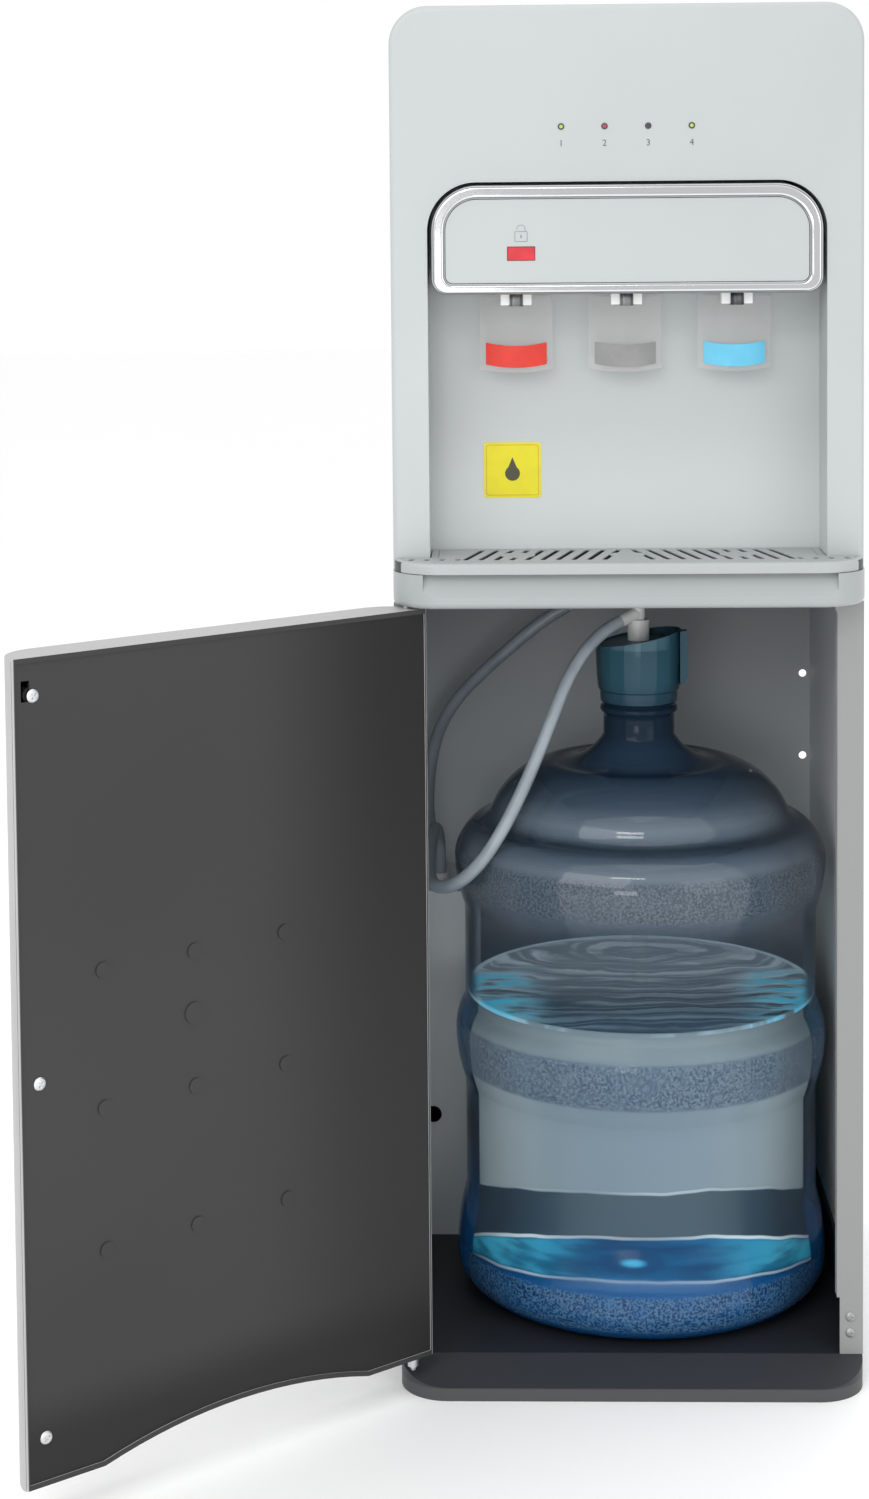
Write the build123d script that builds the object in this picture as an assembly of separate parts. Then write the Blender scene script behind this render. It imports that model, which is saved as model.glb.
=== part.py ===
from build123d import *
import math
import os

# Bottom load water cooler. Origin on the floor, under the middle of the cabinet's footprint.
# X runs to the right, Y to the back and Z up; the door's face and the lip look to -Y. Millimetres.

# ---------------------------------------------------------------- cabinet
width = 320.0
height = 950.0
depth = 340.0
front_corner = 33.0
door_depth = 31.5
door_gap = 1.5
sheet = 1.2
seat_gap = 0.3
half = width / 2
y_front = -depth / 2
y_rear = depth / 2
y_face = y_front + door_depth + door_gap
y_inner = y_rear - sheet
x_web = half - sheet

# ---------------------------------------------------------------- base
base_height = 20.0
nose_height = 9.0
base_inset = 0.5
base_wall = 3.0
rib_wall = 3.0
rib_places = (-90.0, 0.0, 90.0)
upstand_height = 60.0
upstand_wall = 2.5

# ---------------------------------------------------------------- bay
bay_top = 545.0
flange = 18.0
flange_step = 2.0
hem = 10.0
hem_gusset = 4.0
liner_wall = 1.6
liner_set_back = 12.0
strap_hole = 3.0
strap_hole_x = half - 8.4
strap_hole_heights = (442.7, 376.8)
screw_shank = 1.6
screw_head = 3.3
screw_head_height = 1.4
screw_length = 9.0
flange_screw_x = half - 8.7
flange_screw_heights = (46.3, 35.0)

# ---------------------------------------------------------------- door
door_bottom = 27.5
door_top = bay_top - 1.0
door_skin_wall = 1.0
door_hem = 3.2
door_liner_wall = 2.0
open_angle = 140.3
pin_x = 9.0 - half
pin_y = y_front + 18.5
pin_radius = 2.0
pin_running = 0.05
pin_grip = 9.0
bush_radius = 3.7
bush_height = 16.0
arch_half = half - 57.0
arch_rise = 14.0
boss_radius = 5.0
boss_height = 0.9
boss_columns = (-39.0, 31.0, 98.5)
boss_rows = (165.0, 255.5, 343.0)
big_boss_radius = 7.0
big_boss_place = (31.5, 303.0)
door_screw_x = half - 15.5
door_screw_heights = (57.8, 0.5 * bay_top + 7.9, bay_top - 24.6)
door_screw_head = 4.2
screw_post = 5.0
pocket_centre = (half - 10.5, bay_top - 21.5)
pocket_size = (6.0, 13.0, 9.0)

# ---------------------------------------------------------------- head
fascia_wall = 3.0
fascia_depth = 35.0
head_corner = 26.0
fascia_edge = 3.5
cover_wall = 2.5
shoulder_height = height - head_corner
niche_half = half - 25.0
niche_drop = 119.0
niche_top = height - niche_drop
niche_corner = 33.0
niche_depth = 47.0
niche_wall = 2.5
y_niche = y_face + niche_depth
lens_places = (-44.0, -14.7, 14.7, 44.0)
lens_drop = 82.0
lens_height = height - lens_drop
lens_radius = 2.25
lens_proud = 0.8
board_half = 60.0
board_height = 24.0
board_thickness = 1.6
board_gap = 3.0

# ---------------------------------------------------------------- apron and drip tray
apron_band = 8.0
scoop_depth = 9.0
scoop_half = half - 21.0
apron_edge = 4.0
lip_edge = 2.5
lip_rise = 23.0
lip_height = 8.0
lip_bottom = bay_top + lip_rise
tray_top = lip_bottom + lip_height
apron_wall = 3.0
apron_skirt = 6.0
well_rise = 15.0
well_floor = bay_top + well_rise
apron_shelf_bottom = well_floor - apron_wall
tray_play = 1.0
tray_inset = 1.0
basin_wide_half = half - 13.0
basin_niche_half = niche_half - 7.0
basin_front = y_front + 15.0
basin_step = y_face - 3.5
basin_back = y_niche - 3.5
basin_wall = 2.0
grille_thickness = 2.6
grille_rim = 5.0
slot_pitch = 10.5
slot_width = 3.8
slot_lean = 14.0
slot_margin = 6.0
pad_radius = 12.0

# ---------------------------------------------------------------- pod over the taps
pod_half = niche_half - 2.7
pod_gap = 2.0
pod_height = 74.0
pod_top = niche_top - pod_gap
pod_bottom = pod_top - pod_height
pod_top_corner = 31.0
pod_bottom_corner = 11.0
pod_wall = 2.5
bezel_proud = 4.0
bezel_side = 9.6
bezel_foot = 7.8
bezel_edge = 3.0
plate_proud = 2.2
button_x = 63.6 - niche_half
button_rise = 27.7
button_z = pod_bottom + button_rise
button_width = 18.2
button_height = 8.8
button_play = 0.4
button_proud = 0.6
button_collar = 1.5
spring_radius = 3.2
spring_bore = 2.2

# ---------------------------------------------------------------- taps
tap_pitch = 5 * niche_half / 9
tap_names = ("hot", "room", "cold")
tap_places = (-tap_pitch, 0.0, tap_pitch)
valve_half = 12.0
valve_front = y_face + 17.0
valve_rise = 14.0
valve_height = 27.0
valve_bottom = pod_bottom + valve_rise
valve_top = valve_bottom + valve_height
nozzle_half = 10.5
nozzle_front = y_face + 9.0
nozzle_back = nozzle_front + 12.0
nozzle_drop = 7.5
nozzle_bottom = pod_bottom - nozzle_drop
spout_radius = 4.2
spout_drop = 1.0
hinge_y = y_face + 32.0
hinge_rise = 8.0
hinge_z = pod_bottom + hinge_rise
hinge_pin = 1.5
hinge_running = 0.05
hub_radius = 3.6
hub_half = 8.0
ear_wall = 2.5
ear_play = 0.4
paddle_half = 25.0
paddle_drop = 2.5
paddle_height = 52.0
paddle_top = pod_bottom - paddle_drop
paddle_bottom = paddle_top - paddle_height
paddle_wall = 2.0
paddle_curve = 47.0
paddle_front = hinge_y - 4.5
neck_half = 7.5
tab_half = 21.0
tab_rise = 3.2
tab_bottom = paddle_bottom + tab_rise
tab_height = 17.6
tab_top = tab_bottom + tab_height
tab_wall = 0.8
tab_dip = 2.5
tab_seat = 0.05
finger_reach = 11.0
finger_half = 3.0
plunger_reach = 8.5
plunger_radius = 2.4
plunger_play = 0.06
plunger_gap = 0.7
plunger_length = 16.0
line_radius = 4.0
line_rise = 16.0
line_height = valve_bottom + line_rise

# ---------------------------------------------------------------- tanks and cooling
shelf_drop = 39.0
shelf_z = pod_bottom - shelf_drop
shelf_sheet = 1.5
shelf_flange = 10.0
foam_left = -6.0
foam_width = half - 14.0 - foam_left
foam_front = -70.0
foam_depth = 150.0
head_room = 34.5
foam_height = height - shelf_z - shelf_sheet - head_room
foam_floor = 16.0
cold_radius = 50.0
cold_height = foam_height - foam_floor - 17.0
tank_wall = 1.2
evaporator_wall = 6.0
evaporator_low = 15.0
evaporator_height = 0.66 * cold_height
hot_x = 72.0 - half
hot_y = -10.0
hot_radius = 48.0
jacket_wall = 14.0
hot_height = foam_height - jacket_wall - head_room
heater_radius = 24.0
heater_height = 7.0
compressor_x = 60.0
compressor_y = 88.0
compressor_radius = 60.0
compressor_room = 43.0
mount_height = 19.8
compressor_height = shelf_z - bay_top - compressor_room
compressor_edge = 0.19 * compressor_height
mount_radius = 9.0
foot_plate = 3.0
foot_half_x = 72.0
foot_half_y = 50.0
suction_set = 18.0
pipe_radius = 3.2
condenser_gap = 12.0
condenser_tube = 2.4
condenser_half = half - 38.0
condenser_pitch = 28.8
condenser_runs = 10
condenser_drop = 100.0
condenser_top = height - condenser_drop
wire_radius = 0.8
wire_pitch = 14.0
wire_count = 17
wire_overrun = 8.0
clip_half = 5.0
clip_x = condenser_half - 22.0
louvre_half = 45.0
louvre_height = 3.0
louvre_pitch = 14.4
louvre_count = 12

# ---------------------------------------------------------------- rear fittings
switch_x = 68.0 - half
switch_drop = 58.0
switch_z = height - switch_drop
switch_plate_half = (30.0, 15.0)
switch_plate_wall = 2.4
rocker_spread = 13.0
rocker_half = (9.0, 7.0)
rocker_depth = 8.0
rocker_tilt = 10.0
rocker_play = 0.5
rocker_pin = 0.8
rocker_pin_reach = 1.6
gland_x = half - 34.0
gland_z = bay_top + 21.0
gland_radius = 11.0
gland_bore = 4.0
gland_length = 12.0
drain_x = 60.0 - half
drain_z = bay_top + 23.0
drain_inner_y = 20.0
drain_radius = 4.0
drain_bend = 18.0
spigot_radius = 7.0
spigot_length = 14.0
cap_radius = 11.0
cap_length = 15.0

# ---------------------------------------------------------------- service box and pump
box_right = 55.0 - half
box_front = 80.0
box_top = 290.0
box_sheet = 1.0
box_hole_x = 17.4 - half
box_hole_z = 115.0
box_hole_radius = 6.5
pump_x = 30.0 - half
pump_y = 128.0
pump_radius = 20.0
pump_foot = 5.0
motor_height = 66.0
pump_head_height = 26.0
inlet_place = (23.5 - half, 108.0)
outlet_place = (18.0 - half, 146.0)
fitting_height = 8.0
fitting_radius = 7.5

# ---------------------------------------------------------------- bottle
bottle_room = 24.0
bottle_x = 13.5
bottle_y = 2.0
bottle_floor = base_height + seat_gap
bottle_radius = half - bottle_room
bottle_wall = 1.5
bottle_waist = 7.0
punt_rise = 6.0
punt_in = 48.0
foot_in = 36.0
foot_round = 23.7
low_bulge_mid = 67.5
low_bulge_mid_in = 1.72
low_bulge_top = 91.0
middle_bulge_foot = 172.5
middle_bulge_peak = 210.0
middle_bulge_top = 233.0
bulge_swell = 1.7
high_bulge_foot = 303.0
high_bulge_peak = 340.5
high_bulge_top = 364.0
high_bulge_top_in = 14.0
notch_middle = 367.2
notch_middle_in = 21.7
notch_top = 372.5
notch_top_in = 26.7
dome_middle = 391.5
dome_middle_in = 38.7
dome_top = 408.3
dome_top_in = 70.2
neck_flare = 413.5
neck_flare_out = 14.0
neck_foot = 428.0
water_level = 241.0
water_gap = 0.3
neck_radius = 26.0
neck_top = 486.0
cap_play = 0.3
cap_foot = 452.0
cap_foot_radius = 28.3
cap_rim_radius = 31.6
cap_rim = 499.5
cap_rim_rise = 6.0
cap_floor = 495.0
cap_skin = 1.5
cap_tab_reach = 4.0
cap_tab_bottom = 466.0
cap_tab_sides = (-14.0, -2.0)
probe_radius = 6.0
probe_bottom = 29.0
strainer_radius = 9.0
strainer_height = 24.0
probe_head_radius = 8.0
probe_head_top = 512.0
probe_stem_radius = 4.7
probe_stem_top = 525.0
elbow_z = 517.0
elbow_length = 17.0
elbow_radius = 4.5
elbow_aim = (-0.80, -0.50, -0.32)

# ---------------------------------------------------------------- hoses
hose_radius = 4.75
probe_hose_route = (
    (-38.0, -36.0, 479.0),
    (-52.0, -50.0, 446.0),
    (-67.0, -62.0, 411.0),
    (-86.0, -75.0, 374.0),
    (-104.0, -78.0, 348.0),
    (-121.0, -65.0, 331.0),
    (-134.0, -36.0, 322.0),
    (-141.0, -4.0, 319.0),
    (-142.5, 30.0, 326.0),
    (-141.0, 62.0, 337.0),
    (-138.5, 86.0, 340.0),
)
riser_hose_route = (
    (-84.5, 132.0, 467.0),
    (-105.0, 136.0, 448.0),
    (-122.0, 140.0, 430.0),
    (-138.0, 143.5, 404.0),
    (-145.5, 146.0, 370.0),
    (-147.0, 147.0, 335.0),
)
hose_drop = 32.0
riser_drop = 26.0
ceiling_elbow = (-25.0, 128.0)
ceiling_elbow_drop = 36.0
ceiling_elbow_z = bay_top - ceiling_elbow_drop
ceiling_elbow_length = 12.0
ceiling_elbow_aim = (-0.88, 0.04, -0.47)
feed_turn_z = shelf_z + 84.0
feed_bend = 16.0
feed_foam_x = 20.0


# ================================================================ helpers
def block(x0, x1, y0, y1, z0, z1):
    middle = Pos((x0 + x1) / 2, (y0 + y1) / 2, (z0 + z1) / 2)
    return middle * Box(abs(x1 - x0), abs(y1 - y0), abs(z1 - z0))


def rod(radius, start, end):
    """A round bar from one point to the other."""
    run = Vector(*end) - Vector(*start)
    return Plane(origin=start, z_dir=run) * Pos(0, 0, run.length / 2) * Cylinder(radius, run.length)


def post(radius, x, y, z0, z1):
    return Pos(x, y, (z0 + z1) / 2) * Cylinder(radius, z1 - z0)


def plan(inset, back, corner=front_corner):
    """A footprint with two rounded front corners, set in all round, reaching back to Y = back."""
    front = y_front + inset
    outline = Pos(0, (front + back) / 2) * Rectangle(width - 2 * inset, back - front)
    return fillet(outline.vertices().group_by(Axis.Y)[0], corner - inset)


def arch(half_width, z0, z1, top_corner, bottom_corner=0.0):
    """An outline in X and Z with rounded top corners, and rounded bottom corners if asked."""
    outline = Pos(0, (z0 + z1) / 2) * Rectangle(2 * half_width, z1 - z0)
    outline = fillet(outline.vertices().group_by(Axis.Y)[-1], top_corner)
    if bottom_corner:
        outline = fillet(outline.vertices().group_by(Axis.Y)[0], bottom_corner)
    return outline


def front_edges(solid, z):
    """The edges at one height that run round a piece's front."""
    return [edge for edge in solid.edges() if abs(edge.center().Z - z) < 0.01 and edge.center().Y < y_face + 1]


def upright(outline, y0, y1):
    """An outline drawn in X and Z, made solid from y0 back to y1."""
    return extrude(Plane.XZ.offset(-y1) * outline, y1 - y0)


def level(outline, z0, z1):
    """An outline drawn in X and Y, made solid from z0 up to z1."""
    return extrude(Pos(0, 0, z0) * outline, z1 - z0)


def across(points, x0, x1):
    """A profile given by points in Y and Z, made solid from x0 to x1."""
    face = make_face(Polyline(*points, close=True))
    return extrude(Plane.YZ.offset(x0) * face, x1 - x0)


def both_sides(right):
    """The right-hand piece and its mirror image."""
    return right, mirror(right, about=Plane.YZ)


def group(*pieces):
    """Several separate solids under one name."""
    solids = [solid for piece in pieces for solid in piece.solids()]
    return Compound(children=solids)


def hose(points, radius):
    """A round tube along straight runs joined by arcs as large as the runs allow."""
    runs = [Vector(*b) - Vector(*a) for a, b in zip(points, points[1:])]
    radii = []
    for before, after in zip(runs, runs[1:]):
        turn = math.radians(before.get_angle(after))
        radii.append(0.45 * min(before.length, after.length) / math.tan(turn / 2))
    path = FilletPolyline(*points, radius=radii)
    start = Plane(origin=points[0], z_dir=runs[0])
    tube = sweep(start * Circle(radius), path=path)
    print("  arcs", [round(value) for value in radii], "length", round(path.length, 1))
    print("  volume against section times length", round(tube.volume / (math.pi * radius**2 * path.length), 4))
    return tube


# ================================================================ base and cabinet
def base_form(inset, drop):
    outline = plan(base_inset + inset, y_rear - inset)
    form = level(outline, 0, base_height - drop)
    slope = [
        (y_front, nose_height - drop),
        (y_face, base_height - drop),
        (y_face, base_height + 1),
        (y_front, base_height + 1),
    ]
    return form - across(slope, -half, half)


def make_base():
    cavity = base_form(base_wall, base_wall)
    base = base_form(0, 0) - cavity
    for place in rib_places:
        base += cavity & block(place - rib_wall / 2, place + rib_wall / 2, y_front, y_rear, 0, base_height)
        base += cavity & block(-half, half, place - rib_wall / 2, place + rib_wall / 2, 0, base_height)
    x_liner = x_web - liner_wall
    for side in (-1, 1):
        x_inner = side * (x_liner - upstand_wall)
        front = y_face + liner_set_back
        base += block(x_inner, side * x_liner, front, y_inner, base_height - base_wall, upstand_height)
    boss = base_form(0, 0) & post(2 * pin_radius, pin_x, pin_y, 0, base_height)
    base += boss
    return base - post(pin_radius, pin_x, pin_y, base_wall, base_height)


def make_side_panel():
    profile = [
        (y_face, base_height),
        (y_face, bay_top),
        (y_face + fascia_depth, bay_top),
        (y_face + fascia_depth, shoulder_height),
        (y_rear, shoulder_height),
        (y_rear, base_height),
    ]
    panel = across(profile, x_web, half)
    panel += block(half - flange, half, y_face, y_face + sheet, base_height, bay_top)
    panel += block(half - flange, half - flange + sheet, y_face, y_face + hem, upstand_height, bay_top)
    gusset = Polyline(
        (half - flange, bay_top),
        (half - flange - hem_gusset, bay_top),
        (half - flange, bay_top - 2 * hem_gusset),
        close=True,
    )
    panel += upright(make_face(gusset), y_face, y_face + sheet)
    step = block(half - flange, half - flange + flange_step, y_face, y_face + sheet, base_height, upstand_height)
    panel -= step
    for z in flange_screw_heights:
        panel -= rod(screw_shank, (flange_screw_x, y_face - 1, z), (flange_screw_x, y_face + 2 * sheet, z))
    return panel


def make_bay_liners():
    front = y_face + liner_set_back
    right = block(x_web - liner_wall, x_web, front, y_inner, base_height, bay_top)
    return group(*both_sides(right))


def make_rear_panel():
    panel = block(-x_web, x_web, y_inner, y_rear, base_height, shoulder_height)
    edge = block(x_web - sheet, x_web, y_inner - hem, y_inner, shelf_z + shelf_sheet, shoulder_height - hem)
    for piece in both_sides(edge):
        panel += piece
    for side in (-1, 1):
        for z in strap_hole_heights:
            place = side * strap_hole_x
            panel -= rod(strap_hole, (place, y_inner - 1, z), (place, y_rear + 1, z))
    cuts = []
    for row in range(louvre_count):
        z = condenser_top - condenser_pitch / 2 - row * 1.5 * louvre_pitch
        for side in (-1, 1):
            x = side * (louvre_half + 2 * clip_half)
            cuts.append(Pos(x, z) * SlotOverall(2 * louvre_half, louvre_height))
    for x in (-rocker_spread, rocker_spread):
        cuts.append(Pos(switch_x + x, switch_z) * Rectangle(2 * rocker_half[0] + 2, 2 * rocker_half[1] + 2))
    cuts.append(Pos(gland_x, gland_z) * Circle(gland_bore))
    cuts.append(Pos(drain_x, drain_z) * Circle(drain_radius))
    cuts.append(Pos(compressor_x, discharge_z) * Circle(pipe_radius + 1))
    for cut in cuts:
        panel -= upright(cut, y_inner - 1, y_rear + 1)
    for x in (-clip_x, clip_x):
        for run in (1, condenser_runs - 2):
            z = condenser_top - run * condenser_pitch
            back = y_rear + condenser_gap - condenser_tube
            panel += block(x - clip_half, x + clip_half, y_rear, back, z - clip_half, z + clip_half)
    return panel


def make_ceiling():
    plate = block(-x_web, x_web, y_apron_back, y_inner, bay_top, bay_top + sheet)
    return plate - post(line_radius, *ceiling_elbow, bay_top - 1, bay_top + 2 * sheet)


def make_tank_shelf():
    front = y_niche + niche_wall + seat_gap
    plate = block(-x_web, x_web, front, y_inner, shelf_z, shelf_z + shelf_sheet)
    flange = block(x_web - shelf_sheet, x_web, front, y_inner - hem, shelf_z - shelf_flange, shelf_z)
    for piece in both_sides(flange):
        plate += piece
    holes = (
        post(line_radius + 2, *ceiling_elbow, shelf_z - 1, shelf_z + 2 * shelf_sheet),
        post(pipe_radius + 2, compressor_x, compressor_y - suction_set, shelf_z - 1, shelf_z + 2 * shelf_sheet),
        post(drain_radius + 2, drain_x, drain_inner_y, shelf_z - 1, shelf_z + 2 * shelf_sheet),
    )
    for hole in holes:
        plate -= hole
    return plate


# ================================================================ service box and pump
def make_service_box():
    left = -(x_web - liner_wall)
    box = block(left, box_right, box_front, y_inner, base_height, box_top)
    box -= block(left - 1, box_right - box_sheet, box_front + box_sheet, y_rear, 0, box_top - box_sheet)
    clear = left + upstand_wall
    box -= block(left - 1, clear, box_front - 1, y_rear, base_height - 1, upstand_height)
    hole_start = (box_hole_x, box_front - 1, box_hole_z)
    box -= rod(box_hole_radius, hole_start, (box_hole_x, box_front + 2, box_hole_z))
    for place in (inlet_place, outlet_place):
        box -= post(line_radius, *place, box_top - 2 * box_sheet, box_top + 1)
    return box


def make_pump():
    motor_foot = base_height + pump_foot
    motor_top = motor_foot + motor_height
    head_top = motor_top + pump_head_height
    pump = post(pump_radius - 2, pump_x, pump_y, base_height, motor_foot)
    pump += post(pump_radius - 3, pump_x, pump_y, motor_foot, motor_top)
    pump += post(pump_radius, pump_x, pump_y, motor_top, head_top)
    for x, y in (inlet_place, outlet_place):
        pump += rod(line_radius, (pump_x, pump_y, head_top - line_radius), (x, y, head_top - line_radius))
        pump += post(line_radius, x, y, head_top - 2 * line_radius, box_top)
    return pump


def aim_point(start, aim, length):
    direction = Vector(*aim).normalized()
    return tuple(Vector(*start) + direction * length)


def make_fittings():
    barbs = []
    for x, y in (inlet_place, outlet_place):
        barb = post(fitting_radius, x, y, box_top, box_top + fitting_height / 2)
        barbs.append(barb + post(hose_radius + 1, x, y, box_top, box_top + fitting_height))
    top = (*ceiling_elbow, ceiling_elbow_z)
    elbow = post(hose_radius + 1, *ceiling_elbow, ceiling_elbow_z - hose_radius, bay_top)
    elbow += post(fitting_radius + 1, *ceiling_elbow, bay_top - 3, bay_top)
    elbow += rod(hose_radius - 0.5, top, aim_point(top, ceiling_elbow_aim, ceiling_elbow_length))
    return group(*barbs, elbow)


def probe_hose_points():
    head = (bottle_x, bottle_y, elbow_z)
    first = aim_point(head, elbow_aim, elbow_length)
    second = aim_point(head, elbow_aim, 2 * elbow_length + 4)
    x, y = inlet_place
    top = (x, y, box_top + hose_drop)
    return [first, second, *probe_hose_route, top, (x, y, box_top + fitting_height)]


def riser_hose_points():
    top = (*ceiling_elbow, ceiling_elbow_z)
    first = aim_point(top, ceiling_elbow_aim, ceiling_elbow_length)
    second = aim_point(top, ceiling_elbow_aim, 2 * ceiling_elbow_length + 8)
    x, y = outlet_place
    top = (x, y, box_top + riser_drop)
    return [first, second, *riser_hose_route, top, (x, y, box_top + fitting_height)]


# ================================================================ door
def door_form(inset, back):
    """The closed door's block, set in all round, with its low arch, cut off flat at Y = back."""
    outline = plan(inset, 0) & (Pos(0, (y_front + back) / 2) * Rectangle(2 * width, back - y_front))
    form = level(outline, door_bottom + inset, door_top - inset)
    radius = (arch_half**2 + arch_rise**2) / (2 * arch_rise)
    centre_z = door_bottom + arch_rise - radius
    form -= rod(radius + inset, (0, y_front - 1, centre_z), (0, 0, centre_z))
    return form


def swing(piece):
    """Turns a piece of the closed door to the open place in which it is drawn."""
    return piece.rotate(Axis((pin_x, pin_y, 0), (0, 0, 1)), -open_angle)


def pin_hole(radius):
    low = post(radius, pin_x, pin_y, door_bottom - 1, door_bottom + bush_height - 2)
    return low + post(radius, pin_x, pin_y, door_top - bush_height + 2, door_top + 1)


def make_door_skin():
    y_back = y_face - door_gap
    skin = door_form(0, y_back)
    back_corners = [edge for edge in skin.edges().filter_by(Axis.Z) if edge.center().Y > y_back - 0.01]
    skin = fillet(back_corners, door_hem)
    skin -= door_form(door_skin_wall, y_back - door_skin_wall)
    window = door_form(door_hem, y_back + 1) & block(-half, half, y_back - 2 * door_skin_wall, 0, 0, height)
    skin -= window
    return swing(skin - pin_hole(pin_radius + 0.6))


def make_door_liner():
    y_plate = y_face - door_gap - door_skin_wall
    y_skin = y_front + door_skin_wall
    shell = door_form(door_skin_wall, y_plate)
    hollow = door_form(door_skin_wall + door_liner_wall, y_plate - door_liner_wall)
    front_opening = block(-half, half, y_front - 1, y_skin + 3 * door_liner_wall, 0, height)
    liner_plan = plan(door_skin_wall + door_liner_wall, 0)
    hollow += front_opening & level(liner_plan, door_bottom + arch_rise + 6, door_top - 6)
    liner = shell - hollow
    for z in door_screw_heights:
        liner += shell & rod(screw_post, (door_screw_x, y_skin - 1, z), (door_screw_x, y_plate - 0.5, z))
    low = door_bottom + door_skin_wall
    high = door_top - door_skin_wall
    for z0, z1 in ((low, low + bush_height), (high - bush_height, high)):
        liner += shell & post(bush_radius, pin_x, pin_y, z0, z1)
    for x in boss_columns:
        for z in boss_rows:
            liner += rod(boss_radius, (x, y_plate - 1, z), (x, y_plate + boss_height, z))
    x, z = big_boss_place
    liner += rod(big_boss_radius, (x, y_plate - 1, z), (x, y_plate + boss_height, z))
    x, z = pocket_centre
    dx, dz, dy = pocket_size
    liner -= block(x - dx / 2, x + dx / 2, y_plate - door_liner_wall - 1, y_plate + 1, z - dz / 2, z + dz / 2)
    for z in door_screw_heights:
        y_end = y_plate - screw_length
        liner -= rod(screw_shank, (door_screw_x, y_end, z), (door_screw_x, y_plate + 1, z))
    return swing(liner - pin_hole(pin_radius + pin_running))


def make_door_screws():
    y_plate = y_face - door_gap - door_skin_wall
    screws = []
    for z in door_screw_heights:
        y_end = y_plate - screw_length
        screw = rod(screw_shank, (door_screw_x, y_end, z), (door_screw_x, y_plate, z))
        screw += rod(door_screw_head, (door_screw_x, y_plate, z), (door_screw_x, y_plate + screw_head_height, z))
        screws.append(swing(screw))
    return group(*screws)


def make_hinge_pins():
    low_seat = nose_height + (base_height - nose_height) * (pin_y - y_front) / (y_face - y_front)
    low = post(pin_radius, pin_x, pin_y, base_wall, door_bottom + pin_grip)
    low += post(2 * pin_radius - 0.2, pin_x, pin_y, low_seat + 2, door_bottom - seat_gap)
    high = post(pin_radius, pin_x, pin_y, door_top - pin_grip, bay_top + apron_band)
    return group(low, high)


# ================================================================ head shell
def make_fascia():
    back = y_face + fascia_depth
    shell = upright(arch(half, lip_bottom, height, head_corner), y_face, back)
    front_edges = [
        edge
        for edge in shell.faces().sort_by(Axis.Y)[0].edges()
        if edge.center().Z > lip_bottom + 1
    ]
    shell = fillet(front_edges, fascia_edge)
    inner = arch(half - fascia_wall, lip_bottom - 1, height - fascia_wall, head_corner - fascia_wall)
    shell -= upright(inner, y_face + fascia_wall, back + 1)
    shell -= upright(arch(niche_half, lip_bottom - 1, niche_top, niche_corner), y_face - 1, back)
    for x in lens_places:
        shell -= rod(lens_radius, (x, y_face - 1, lens_height), (x, y_face + 2 * fascia_wall, lens_height))
    return shell


def make_niche():
    front = y_face + fascia_wall
    back = y_niche + niche_wall
    outer = arch(niche_half + niche_wall, lip_bottom, niche_top + niche_wall, niche_corner + niche_wall)
    liner = upright(outer, front, back)
    liner -= upright(arch(niche_half, lip_bottom - 1, niche_top, niche_corner), front - 1, y_niche)
    for x in tap_places:
        liner -= rod(line_radius, (x, y_niche - 1, line_height), (x, back + 1, line_height))
    return liner


def make_top_cover():
    front = y_face + fascia_depth
    cover = upright(arch(half, shoulder_height, height, head_corner), front, y_rear)
    inner = arch(half - cover_wall, shoulder_height - 1, height - cover_wall, head_corner - cover_wall)
    return cover - upright(inner, front - 1, y_rear - cover_wall)


def make_lenses():
    lenses = []
    for x in lens_places:
        y0 = y_face - lens_proud
        lens = rod(lens_radius, (x, y0, lens_height), (x, y_face + fascia_wall + board_gap, lens_height))
        front_edge = lens.edges().group_by(Axis.Y)[0]
        lenses.append(fillet(front_edge, lens_proud))
    return group(*lenses)


def make_board():
    y0 = y_face + fascia_wall + board_gap
    low = lens_height - board_height / 2
    board = block(-board_half, board_half, y0, y0 + board_thickness, low, low + board_height)
    for x in (-board_half + 6, board_half - 6):
        board += rod(3, (x, y_face + fascia_wall, lens_height), (x, y0 + board_thickness / 2, lens_height))
    return board


# ================================================================ apron, tray and grille
def basin_outline(grow):
    wide_half = basin_wide_half + grow
    wide = Pos(0, (basin_front + basin_step) / 2) * Rectangle(2 * wide_half, basin_step - basin_front + 2 * grow)
    depth_in = basin_back - basin_front + 2 * grow
    niche = Pos(0, (basin_front + basin_back) / 2) * Rectangle(2 * (basin_niche_half + grow), depth_in)
    return wide + niche


def make_apron():
    back = y_face + fascia_depth
    apron = level(plan(0, back), bay_top, lip_bottom)
    apron = fillet(front_edges(apron, bay_top), apron_edge)
    scoop = across(
        [
            (y_front - 1, bay_top + apron_band),
            (y_front, bay_top + apron_band),
            (y_front + scoop_depth, lip_bottom),
            (y_front + scoop_depth, lip_bottom + 1),
            (y_front - 1, lip_bottom + 1),
        ],
        -scoop_half,
        scoop_half,
    )
    apron -= scoop
    apron += block(-x_web + hem, x_web - hem, back, y_apron_back, bay_top, lip_bottom)
    cavity = level(plan(apron_skirt, y_apron_back - apron_wall), bay_top - 1, apron_shelf_bottom)
    cavity &= block(-x_web + hem + apron_wall, x_web - hem - apron_wall, y_front, y_rear, 0, height)
    apron -= cavity
    apron -= level(basin_outline(tray_play), well_floor, lip_bottom + 1)
    return apron - post(pin_radius, pin_x, pin_y, bay_top - 1, bay_top + apron_band)


def tray_outline(inset):
    window = Pos(0, y_face - door_gap - depth / 2) * Rectangle(2 * width, depth + 2)
    front = plan(tray_inset + inset, 0) & window
    niche_front = y_face - 20
    niche_back = y_niche - tray_play - inset
    niche = Pos(0, (niche_front + niche_back) / 2)
    niche *= Rectangle(2 * (niche_half - tray_play - inset), niche_back - niche_front)
    return front + niche


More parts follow.
